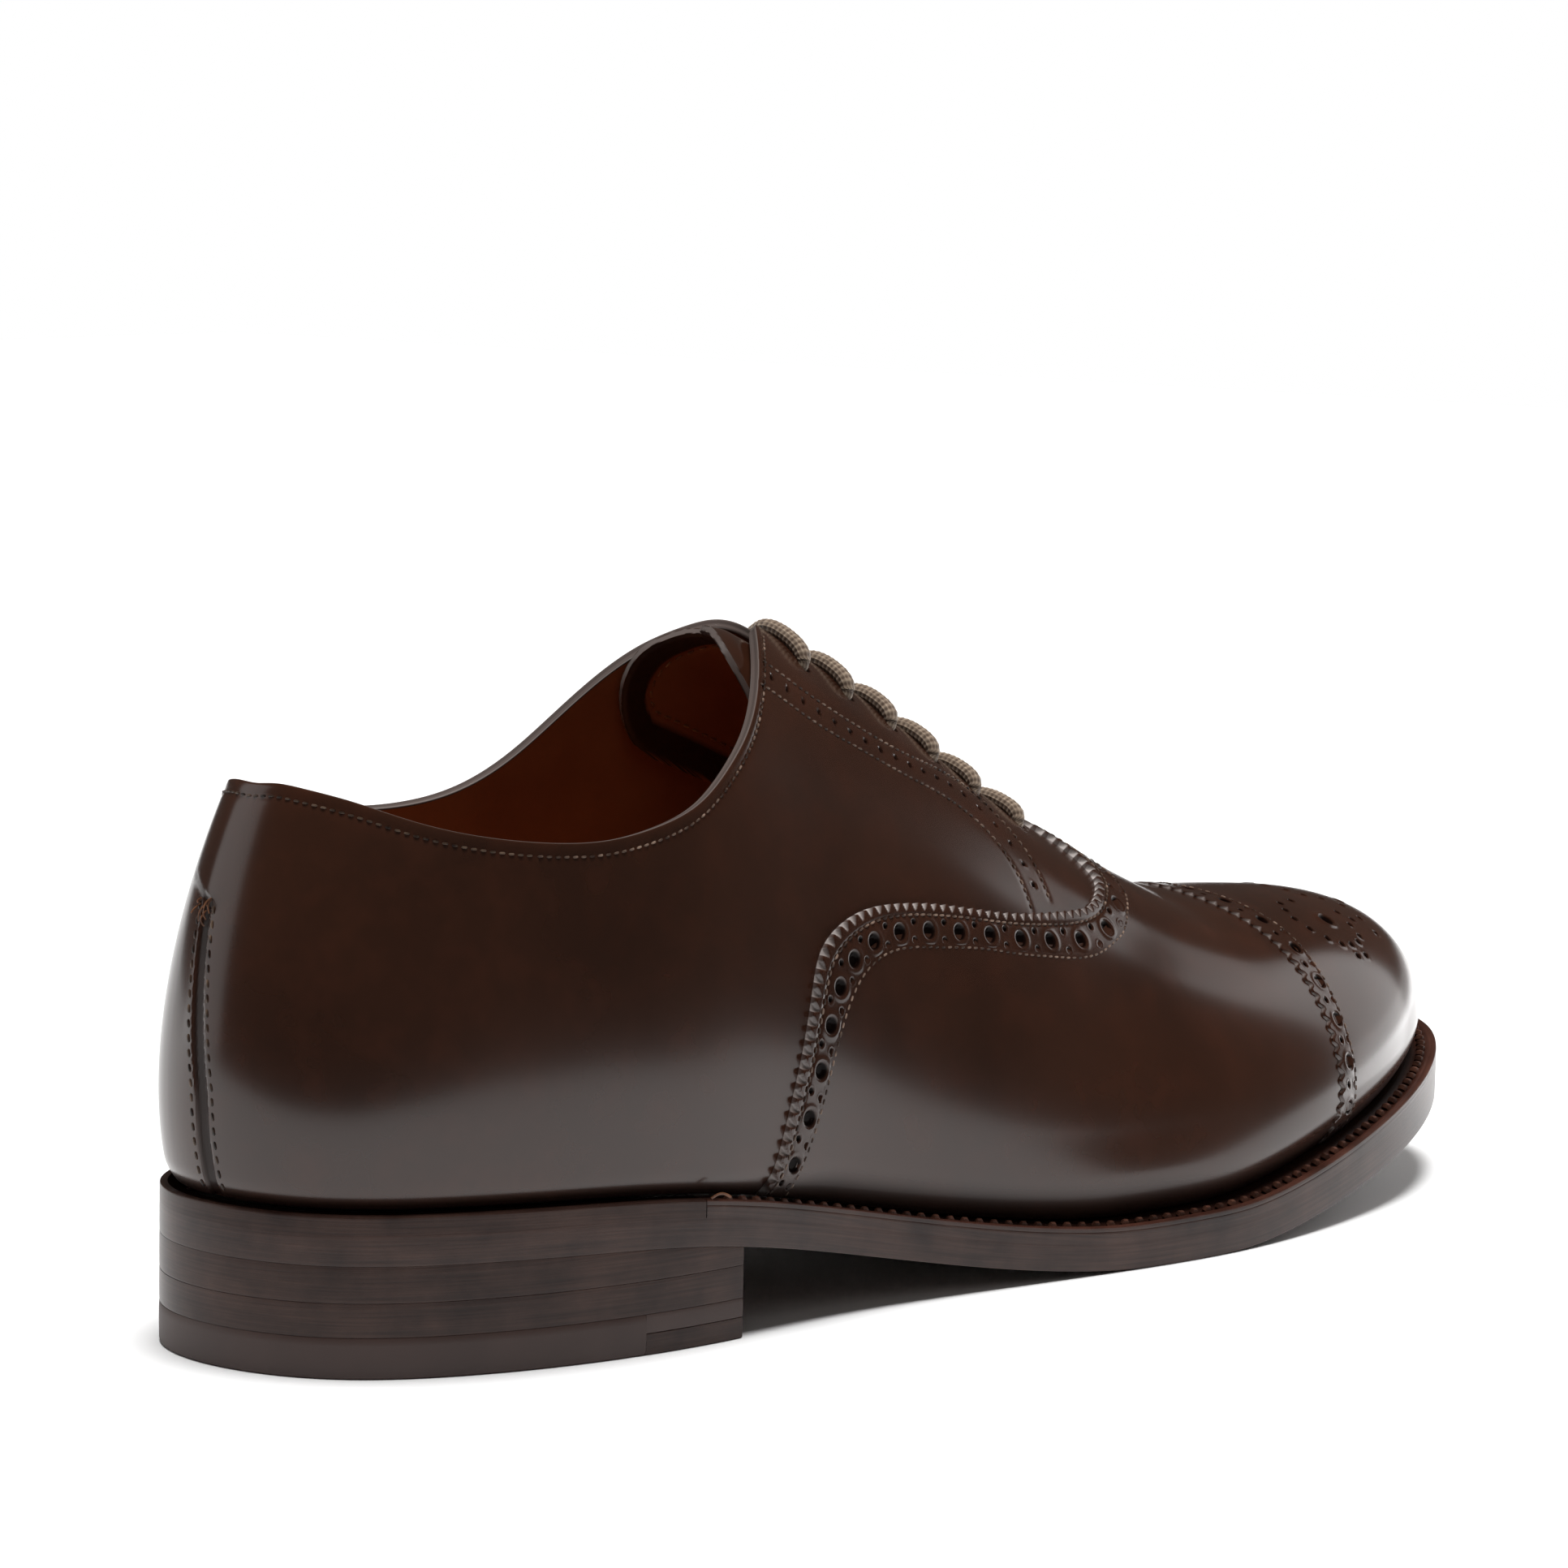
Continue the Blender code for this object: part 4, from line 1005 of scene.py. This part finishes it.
# Top edge of the tongue: mm from its middle line (minus is the outer side) and turn
TONGUE_EDGE = ((-30, 0.378), (-20, 0.369), (-14, 0.367), (-7, 0.376), (0, 0.387), (5, 0.387), (9, 0.379),
               (13.5, 0.368), (17, 0.359), (22, 0.354), (30, 0.354))
tongue_top = spline(*zip(*TONGUE_EDGE))


def on_tongue(side, down, out):
    """A point of the tongue: side from its middle line, down from its top edge, out off the last.

    The tongue has slipped a little to the inner side; past the facings its middle is bent down and back.
    """
    turn = tongue_top(side / MM) + down / TONGUE_ALONG
    up = 1 - np.abs(side) / TONGUE_ACROSS
    turn = np.where(side > 0, 2 - turn, turn)
    sag = 1.5 * MM * np.clip(1 - down / (20 * MM), 0, 1)**2 * bell(side, 9 * MM)
    return off_last(turn, up, out - sag)


def make_tongue():
    """A soft tongue under the facings: a rounded top, a dark border, a tan lining patch sewn on its back."""
    flat_half = TONGUE_HALF - TONGUE_CORNER
    columns = 75
    side = np.linspace(-1, 1, columns)[None, :] * TONGUE_HALF
    round_off = np.clip(np.abs(side) - flat_half, 0, TONGUE_CORNER)
    start = TONGUE_CORNER - np.sqrt(TONGUE_CORNER**2 - round_off**2)
    down = start + (TONGUE_REACH - start) * np.linspace(0, 1, 110)[:, None]**1.5
    side = np.broadcast_to(side, down.shape)
    corner = TONGUE_CORNER - np.hypot(round_off, np.maximum(TONGUE_CORNER - down, 0))
    from_edge = np.where(round_off * (down < TONGUE_CORNER) > 0, corner,
                         np.minimum(TONGUE_HALF - np.abs(side), down))
    puff = 0.6 * MM * smooth(from_edge, 0, 4 * MM)
    face, normal = on_tongue(side, down, TONGUE_OUT - 0.6 * MM + puff)
    inlay = smooth(from_edge, 4.3 * MM, 4.6 * MM)
    furrow = bell(from_edge - TONGUE_ROW, 0.5 * MM)
    lining_out = TONGUE_OUT - 1.9 * MM - 0.25 * MM * (1 - inlay) + 0.2 * MM * furrow
    back, _ = on_tongue(side, down, lining_out - 0.35 * MM * smooth(from_edge, 0, 1.0 * MM) + 0.35 * MM)
    steps = np.linspace(0, 1, 5)[:, None, None]
    left = np.arange(len(side)) * columns
    border = np.concatenate([left[::-1], np.arange(1, columns), left[1:] + columns - 1])
    rim_a = face.reshape(-1, 3)[border]
    rim_b = back.reshape(-1, 3)[border]
    middle = face.mean(axis=(0, 1))
    rim = rim_a + (rim_b - rim_a) * steps
    pieces = [patch(face, normal), patch(back, -normal, 1, pit=1 - inlay),
              patch(rim, rim - middle, cut=0.25)]
    add_piece("tongue_dressed", pieces, [CALF, LINING], ["tongue"])
    half, bend = TONGUE_HALF - TONGUE_ROW, TONGUE_CORNER - TONGUE_ROW
    angle = np.linspace(0, np.pi / 2, 40)
    leg = np.linspace(48 * MM, TONGUE_CORNER, 50)
    left_side = np.concatenate([0 * leg - half, -flat_half - bend * np.cos(angle)])
    left_down = np.concatenate([leg, TONGUE_CORNER - bend * np.sin(angle)])
    across = np.linspace(-flat_half, flat_half, 40)[1:-1]
    row_side = np.concatenate([left_side, across, -left_side[::-1]])
    row_down = np.concatenate([left_down, 0 * across + TONGUE_ROW, left_down[::-1]])
    line, normal = on_tongue(row_side, row_down, TONGUE_OUT - 1.75 * MM)
    row = stitches([(line, -normal)], *TONGUE_STITCH)
    add_piece("tongue_stitches", [row], [LINING_THREAD])


def lace_strands(run, angle):
    """Height of the braid over the round cord: two sets of six yarns that slant opposite ways."""
    yarns, turn_length = 6, 13 * MM
    slant = 2 * np.pi * yarns / turn_length
    return np.cos(yarns * angle + slant * run) * np.cos(yarns * angle - slant * run)


def make_laces():
    """Straight bars of round braided lace over the facings, and the runs behind them from eye to eye."""
    profile = ((-0.004, -2.6), (0.0, -1.2), (0.01, 0.2), (0.03, 1.0), (0.07, 1.3), (0.12, 1.35), (0.16, 1.3))
    rise, out = np.array(profile).T
    around = 36
    angle = np.linspace(0, 2 * np.pi, around, endpoint=False)[None, :]
    for bar, turn in enumerate(eyelet_turns):
        near, far = [off_last(sign * turn, EYELET_UP + rise, out * MM)[0] for sign in (1, -1)]
        ends = np.concatenate([near[:-1], (near[-1:] + far[-1:]) / 2, far[-2::-1]])
        chord = run_of(ends)
        run = np.linspace(0, chord[-1], 250)[:, None]
        path = spline(chord, ends)(run[:, 0])
        strand = lace_strands(run, angle)
        end = np.minimum(run, chord[-1] - run)
        pinch = 1 - 0.3 * smooth(end, 5 * MM, 1.5 * MM)
        radius = LACE_RADIUS * pinch * (0.97 + 0.06 * strand)
        body = tube(path, radius, around, level=0.5 + 0.5 * strand)
        add_piece(f"lace_{bar + 1}", [body], [COTTON], [f"lace_bar_{bar + 1}"])
    runs = []
    for gap in range(LACE_BARS - 1):
        sign = 1 if gap % 2 else -1
        t = np.linspace(eyelet_turns[gap], eyelet_turns[gap + 1], 16)
        runs.append(tube(off_last(sign * t, EYELET_UP, -LACE_DEPTH)[0], 0.38 * MM))
    add_piece("lace_runs", runs, [COTTON])


# Points of a slab's closed loop: 9 up each side, 8 across the underside
LOOP_POINTS = 26


def slab(edge, low, high, swell, lip):
    """A slab between two heights with a slightly swelled side: at each station one closed loop of points.

    edge(inset) gives the outer and inner plan lines, low and high give heights at a place x.
    """
    inset = np.array([2.0 * MM, 0.15 * lip, 0.03 * lip, -swell, -swell, 0.0, 0.12 * lip, 0.4 * lip, lip])
    share = np.array([1.0, 1.0, 0.985, 0.8, 0.4, 0.1, 0.05, 0.015, 0.0])
    loops = []
    for k in (0, 1):
        plan = np.stack([edge(i)[k] for i in inset], 1)
        bottom, top = low(plan[..., 0]), high(plan[..., 0])
        z = bottom + (top - bottom) * share
        loops.append(np.concatenate([plan, z[..., None]], -1))
    outer, inner = loops
    cross = np.linspace(0, 1, 10)[None, 1:-1, None]
    floor = outer[:, -1:] + (inner[:, -1:] - outer[:, -1:]) * cross
    floor[..., 2] = low(floor[..., 0])
    points = np.concatenate([outer, floor, inner[:, ::-1]], 1)
    along = np.broadcast_to(run_of(outer[:, 4])[:, None], points.shape[:2])
    level = points[..., 2] - low(points[..., 0])
    normal = points - points.mean(axis=1, keepdims=True)
    return patch(points, normal, wrap=True, along=along, level=level)


def close_end(part):
    """Adds the flat end of a slab's last station as a ladder of quads across its loop."""
    count = len(part["points"])
    loop = np.arange(count - LOOP_POINTS, count)
    half = LOOP_POINTS // 2
    a, b = loop[:half], loop[::-1][:half]
    quads = np.stack([a[:-1], a[1:], b[1:], b[:-1]], -1)
    part["faces"] = np.concatenate([part["faces"], quads])
    return part


def sides_of(outer, inner):
    """Both plan lines of a layer of the sole, from the turns of its sides, at a given inset."""
    return lambda inset: (sole_edge(outer, inset), sole_edge(inner, inset))


def flat(height):
    """A height that is the same everywhere."""
    return lambda x: np.full(np.shape(x), height)


def heel_turns(stop):
    """Turns of both sides from the back of the heel to a given distance in front of it."""
    fine = np.linspace(0, 0.4, 1200)
    share = np.linspace(0, 1, 70)
    sides = []
    for sign in (1, -1):
        reach = np.interp(stop, sole_edge(sign * fine)[:, 0], fine)
        sides.append(sign * reach * share)
    return sides


def stitch_line(turn):
    """Distance of the welt's stitches from the upper."""
    return 0.47 * welt_width(turn)


def welt_strip(turns, sewn):
    """A strip round the upper: its top face with a sewn furrow, its rounded lip and its creased side."""
    top = (-0.9, -0.3, 0.0, 0.12, 0.22, 0.3, 0.4, 0.5, 0.6, 0.68, 0.74, 0.8, 0.86)
    lip = ((0.92, 0.03), (0.96, 0.1), (0.99, 0.24))
    side = (0.42, 0.8, 0.95, 1.1, 1.5, 1.65, 1.8, 2.5, 3.1)
    section = [(place, 0) for place in top] + [*lip] + [(1, depth) for depth in side]
    section += [(-0.9, 3.1), (-0.9, 0)]
    across, drop = np.array(section).T * ((1,), (MM,))
    corner = len(top) + len(lip)
    crease = np.zeros(len(section))
    crease[[corner, corner + 2]] = 0.05 * MM * sewn
    furrow = -0.55 * MM * smooth(across, 0.16, 0.26) * smooth(across, 0.72, 0.62) * sewn
    place = across[:, None] * welt_width(turns)
    plan = feather(np.broadcast_to(turns, place.shape), place - crease[:, None])
    z = seat(plan[..., 0]) + (furrow - drop)[:, None]
    points = np.concatenate([plan, z[..., None]], -1)
    normal = np.zeros(points.shape)
    normal[..., 2] = 1
    # Painted shade on the welt's top next to the upper and, where sewn, across its furrow
    shade = (0.8 - 0.4 * sewn) * smooth(across, 0.26, 0.1)
    shade = shade + 0.3 * sewn * smooth(across, 0.2, 0.3) * smooth(across, 0.7, 0.6)
    values = {"along": run_of(points[corner]) + 0 * place, "level": place - drop[:, None],
              "pit": shade[:, None] + 0 * place}
    parts = [(0, slice(0, corner + 1), normal), (1, slice(corner, None), -normal)]
    return [patch(points[rows], facing[rows], mat, **{key: v[rows] for key, v in values.items()})
            for mat, rows, facing in parts]


def make_sole():
    """Outsole, welt, heel rand and insole, the welt's furrow and stitches, and the heel's layers."""
    share = np.linspace(0, 1, 320)
    turns = share - 0.07 * np.sin(2 * np.pi * share) / np.pi
    body = slab(sides_of(turns, 2 - turns), tread, lambda x: seat(x) - WELT_THICK + 0.1 * MM, 0.02 * MM,
                0.06 * MM)
    add_piece("outsole_dressed", [body], [SOLE_EDGE], ["outsole"])

    around = np.linspace(WELT_END, 2 - WELT_END, 640)
    add_piece("welt_dressed", welt_strip(around, 1.0), [WELT, SOLE_EDGE], ["welt"])
    rand = welt_strip(np.linspace(-WELT_END, WELT_END, 260) * 0.998, 0.0)
    add_piece("heel_rand_dressed", rand, [EDGE, EDGE], ["heel_rand"])
    sewn = np.linspace(WELT_END + 0.012, 2 - WELT_END - 0.012, 900)
    xy = feather(sewn, stitch_line(sewn))
    up = np.broadcast_to((0.0, 0.0, 1.0), (900, 3))
    line = np.column_stack([xy, seat(xy[:, 0]) - 0.55 * MM])
    row = stitches([(line, up)], *WELT_STITCH, WELT_SLANT)
    add_piece("welt_stitches", [row], [WELT_THREAD])

    # Heel: two lifts, and a rubber top piece with the leather tip let in under its front
    whole = heel_turns(BREAST)
    rear = heel_turns(TIP_START)
    ahead = [np.linspace(a[-1], b[-1], 24) for a, b in zip(rear, whole)]
    lift_top = TOP_PIECE_THICK + GAP + LIFT_THICK

    def layer(turns, low, high, swell, lip):
        return close_end(slab(sides_of(*turns), low, high, swell * MM, lip * MM))

    lifts = (
        ("heel_lift_upper", flat(lift_top + 0.03 * MM), lambda x: tread(x) - 0.01 * MM),
        ("heel_lift_lower", flat(TOP_PIECE_THICK + 0.03 * MM), flat(lift_top)),
    )
    for name, low, high in lifts:
        add_piece(name + "_dressed", [layer(whole, low, high, 0.02, 0.08)], [EDGE], [name])
    rubber = [layer(rear, flat(0.0), flat(TOP_PIECE_THICK), 0.05, 0.6),
              layer(ahead, flat(TIP_THICK + 0.04 * MM), flat(TOP_PIECE_THICK), 0.05, 0.15)]
    add_piece("heel_top_rubber_dressed", rubber, [RUBBER], ["heel_top_rubber"])
    tip = layer(ahead, flat(0.0), flat(TIP_THICK), 0.05, 0.5)
    add_piece("heel_tip_dressed", [tip], [EDGE], ["heel_tip"])

    inset = WALL + 0.6 * MM
    sock = slab(lambda i: (feather(turns, -inset - i), feather(2 - turns, -inset - i)),
                lambda x: seat(x) + GAP + INSOLE_THICK, lambda x: seat(x) + GAP, 0.0, 0.5 * MM)
    add_piece("insole_dressed", [sock], [LINING], ["insole"])


def make_thread_ends():
    """Short frayed ends of thread at the top of the back seam and at the end of the welt."""
    draw = np.random.default_rng(7)
    ends = []
    for _ in range(9):
        t = back_line(0.37) + draw.uniform(-0.006, 0.010)
        u = draw.uniform(0.352, 0.372)
        base = last_surface(t, u)
        normal = last_normal(t, u)
        sway = draw.normal(0, 0.6, 3) * MM
        s = np.linspace(0, 1, 8)[:, None]
        reach = draw.uniform(0.8, 2.2) * MM
        arch = 0.1 * MM + 0.8 * MM * np.sin(s * 2.2)
        path = base + normal * arch - np.array((0, 0, 1)) * reach * s + sway * s**2
        ends.append(tube(path, 0.13 * MM, 5))
    edge = feather(np.array(WELT_END + 0.004), 1.5 * MM)
    base = np.array((*edge, seat(edge[0]) + 0.1 * MM))
    s = np.linspace(0, 1, 10)[:, None]
    ends.append(tube(base + s * (3.0 * MM, -1.6 * MM, 0) + np.sin(3 * s) * (0, 0, 0.8 * MM), 0.25 * MM, 6))
    add_piece("thread_ends", ends, [FRAYED_THREAD])


def add_lamp(name, kind, place, aim, power, **settings):
    """A lamp that shines from place towards aim and isn't seen itself."""
    light = bpy.data.lights.new(name, kind)
    light.energy = power
    for key, value in settings.items():
        setattr(light, key, value)
    lamp = bpy.data.objects.new(name, light)
    lamp.location = place
    lamp.rotation_mode = "QUATERNION"
    lamp.rotation_quaternion = (aim - place).to_track_quat("-Z", "Y")
    lamp.visible_camera = False
    bpy.context.collection.objects.link(lamp)
    return lamp


def make_stage():
    """A white table top, a dim room, three panels that the leather mirrors, and three lights it doesn't."""
    # Edge of the table: bearing round the shoe and distance
    edge = ((-170, 2.5), (-140, 1.6), (-120, 0.7), (-95, 0.45), (-70, 0.36), (-45, 0.33), (-20, 0.33),
            (5, 0.33), (20, 0.33), (30, 0.36), (40, 0.46), (55, 0.55), (70, 0.7), (85, 1.6), (100, 2.5),
            (145, 3.5))
    mesh = bpy.data.meshes.new("table")
    corners = [(d * np.sin(np.radians(b)), -d * np.cos(np.radians(b)), 0.0) for b, d in edge]
    mesh.from_pydata(corners, [], [tuple(range(len(edge)))])
    table = bpy.data.objects.new("table", mesh)
    bpy.context.collection.objects.link(table)
    paint, shader = finish_of("table_matt_white", 0.9, Specular_IOR_Level=0.0)
    feed(paint, shader, {"Base Color": linear("#f6f6f6")})
    mesh.materials.append(paint)

    world = bpy.data.worlds.new("studio")
    bpy.context.scene.world = world
    world.use_nodes = True
    world.node_tree.nodes.clear()
    room = add(world, "ShaderNodeBackground", {"Color": linear("#fff4ea"), "Strength": 0.05})
    paper = add(world, "ShaderNodeBackground", {"Color": linear("#ffffff"), "Strength": 1.0})
    eye = add(world, "ShaderNodeLightPath").outputs["Is Camera Ray"]
    mix = add(world, "ShaderNodeMixShader", {0: eye, 1: room.outputs[0], 2: paper.outputs[0]})
    add(world, "ShaderNodeOutputWorld", {"Surface": mix.outputs[0]})

    # Panels: the place along the shoe that they face, bearing, distance, width, height, power
    panels = (
        ("left_panel", -0.15, -136, 0.6, 0.41, 0.5, 0.6),
        ("right_panel", 0.09, 75, 0.166, 0.086, 0.157, 0.055),
        ("low_panel", 0.09, 86, 0.165, 0.14, 0.05, 0.011),
    )
    for name, along, bearing, away, wide, high, power in panels:
        angle = np.radians(bearing)
        aim = Vector((along, 0, high / 2))
        place = aim + away * Vector((np.sin(angle), -np.cos(angle), 0))
        add_lamp(name, "AREA", place, aim, power, shape="RECTANGLE", size=wide, size_y=high)
    square = {"shape": "SQUARE"}
    lights = (
        ("overhead_light", "SUN", (0.03, 0.0, 1.0), (0, 0, 0), 4.2, {"angle": np.radians(24)}),
        ("front_fill", "AREA", (-0.7, -0.9, 1.1), (0, 0, 0.1), 0.8, {"size": 0.8, **square}),
        ("toe_light", "AREA", (0.75, 0.05, 0.12), (0.12, 0, 0), 2.2, {"size": 0.3, **square}),
    )
    for name, kind, place, aim, power, settings in lights:
        light = add_lamp(name, kind, Vector(place), Vector(aim), power, **settings)
        light.visible_glossy = False


def make_camera():
    """Camera at the photograph's angle: turned round the shoe, tipped down and rolled a little."""
    back = np.array((np.sin(VIEW_AZIMUTH) * np.cos(VIEW_TIP), -np.cos(VIEW_AZIMUTH) * np.cos(VIEW_TIP),
                     np.sin(VIEW_TIP)))
    right = np.array((np.cos(VIEW_AZIMUTH), np.sin(VIEW_AZIMUTH), 0.0))
    up = np.cross(back, right)
    c, s = np.cos(VIEW_ROLL), np.sin(VIEW_ROLL)
    axes = np.stack([c * right + s * up, c * up - s * right, back], -1)
    data = bpy.data.cameras.new("camera")
    data.sensor_width = 36.0
    data.lens = VIEW_LENS
    camera = bpy.data.objects.new("camera", data)
    camera.matrix_world = Matrix.Translation(VIEW_PLACE * MM - ORIGIN) @ Matrix(axes.tolist()).to_4x4()
    bpy.context.collection.objects.link(camera)
    bpy.context.scene.camera = camera


make_camera()
make_stage()
make_quarters()
make_vamp()
make_cap()
make_tongue()
make_laces()
make_sole()
make_thread_ends()
bpy.context.scene.view_settings.view_transform = "Standard"
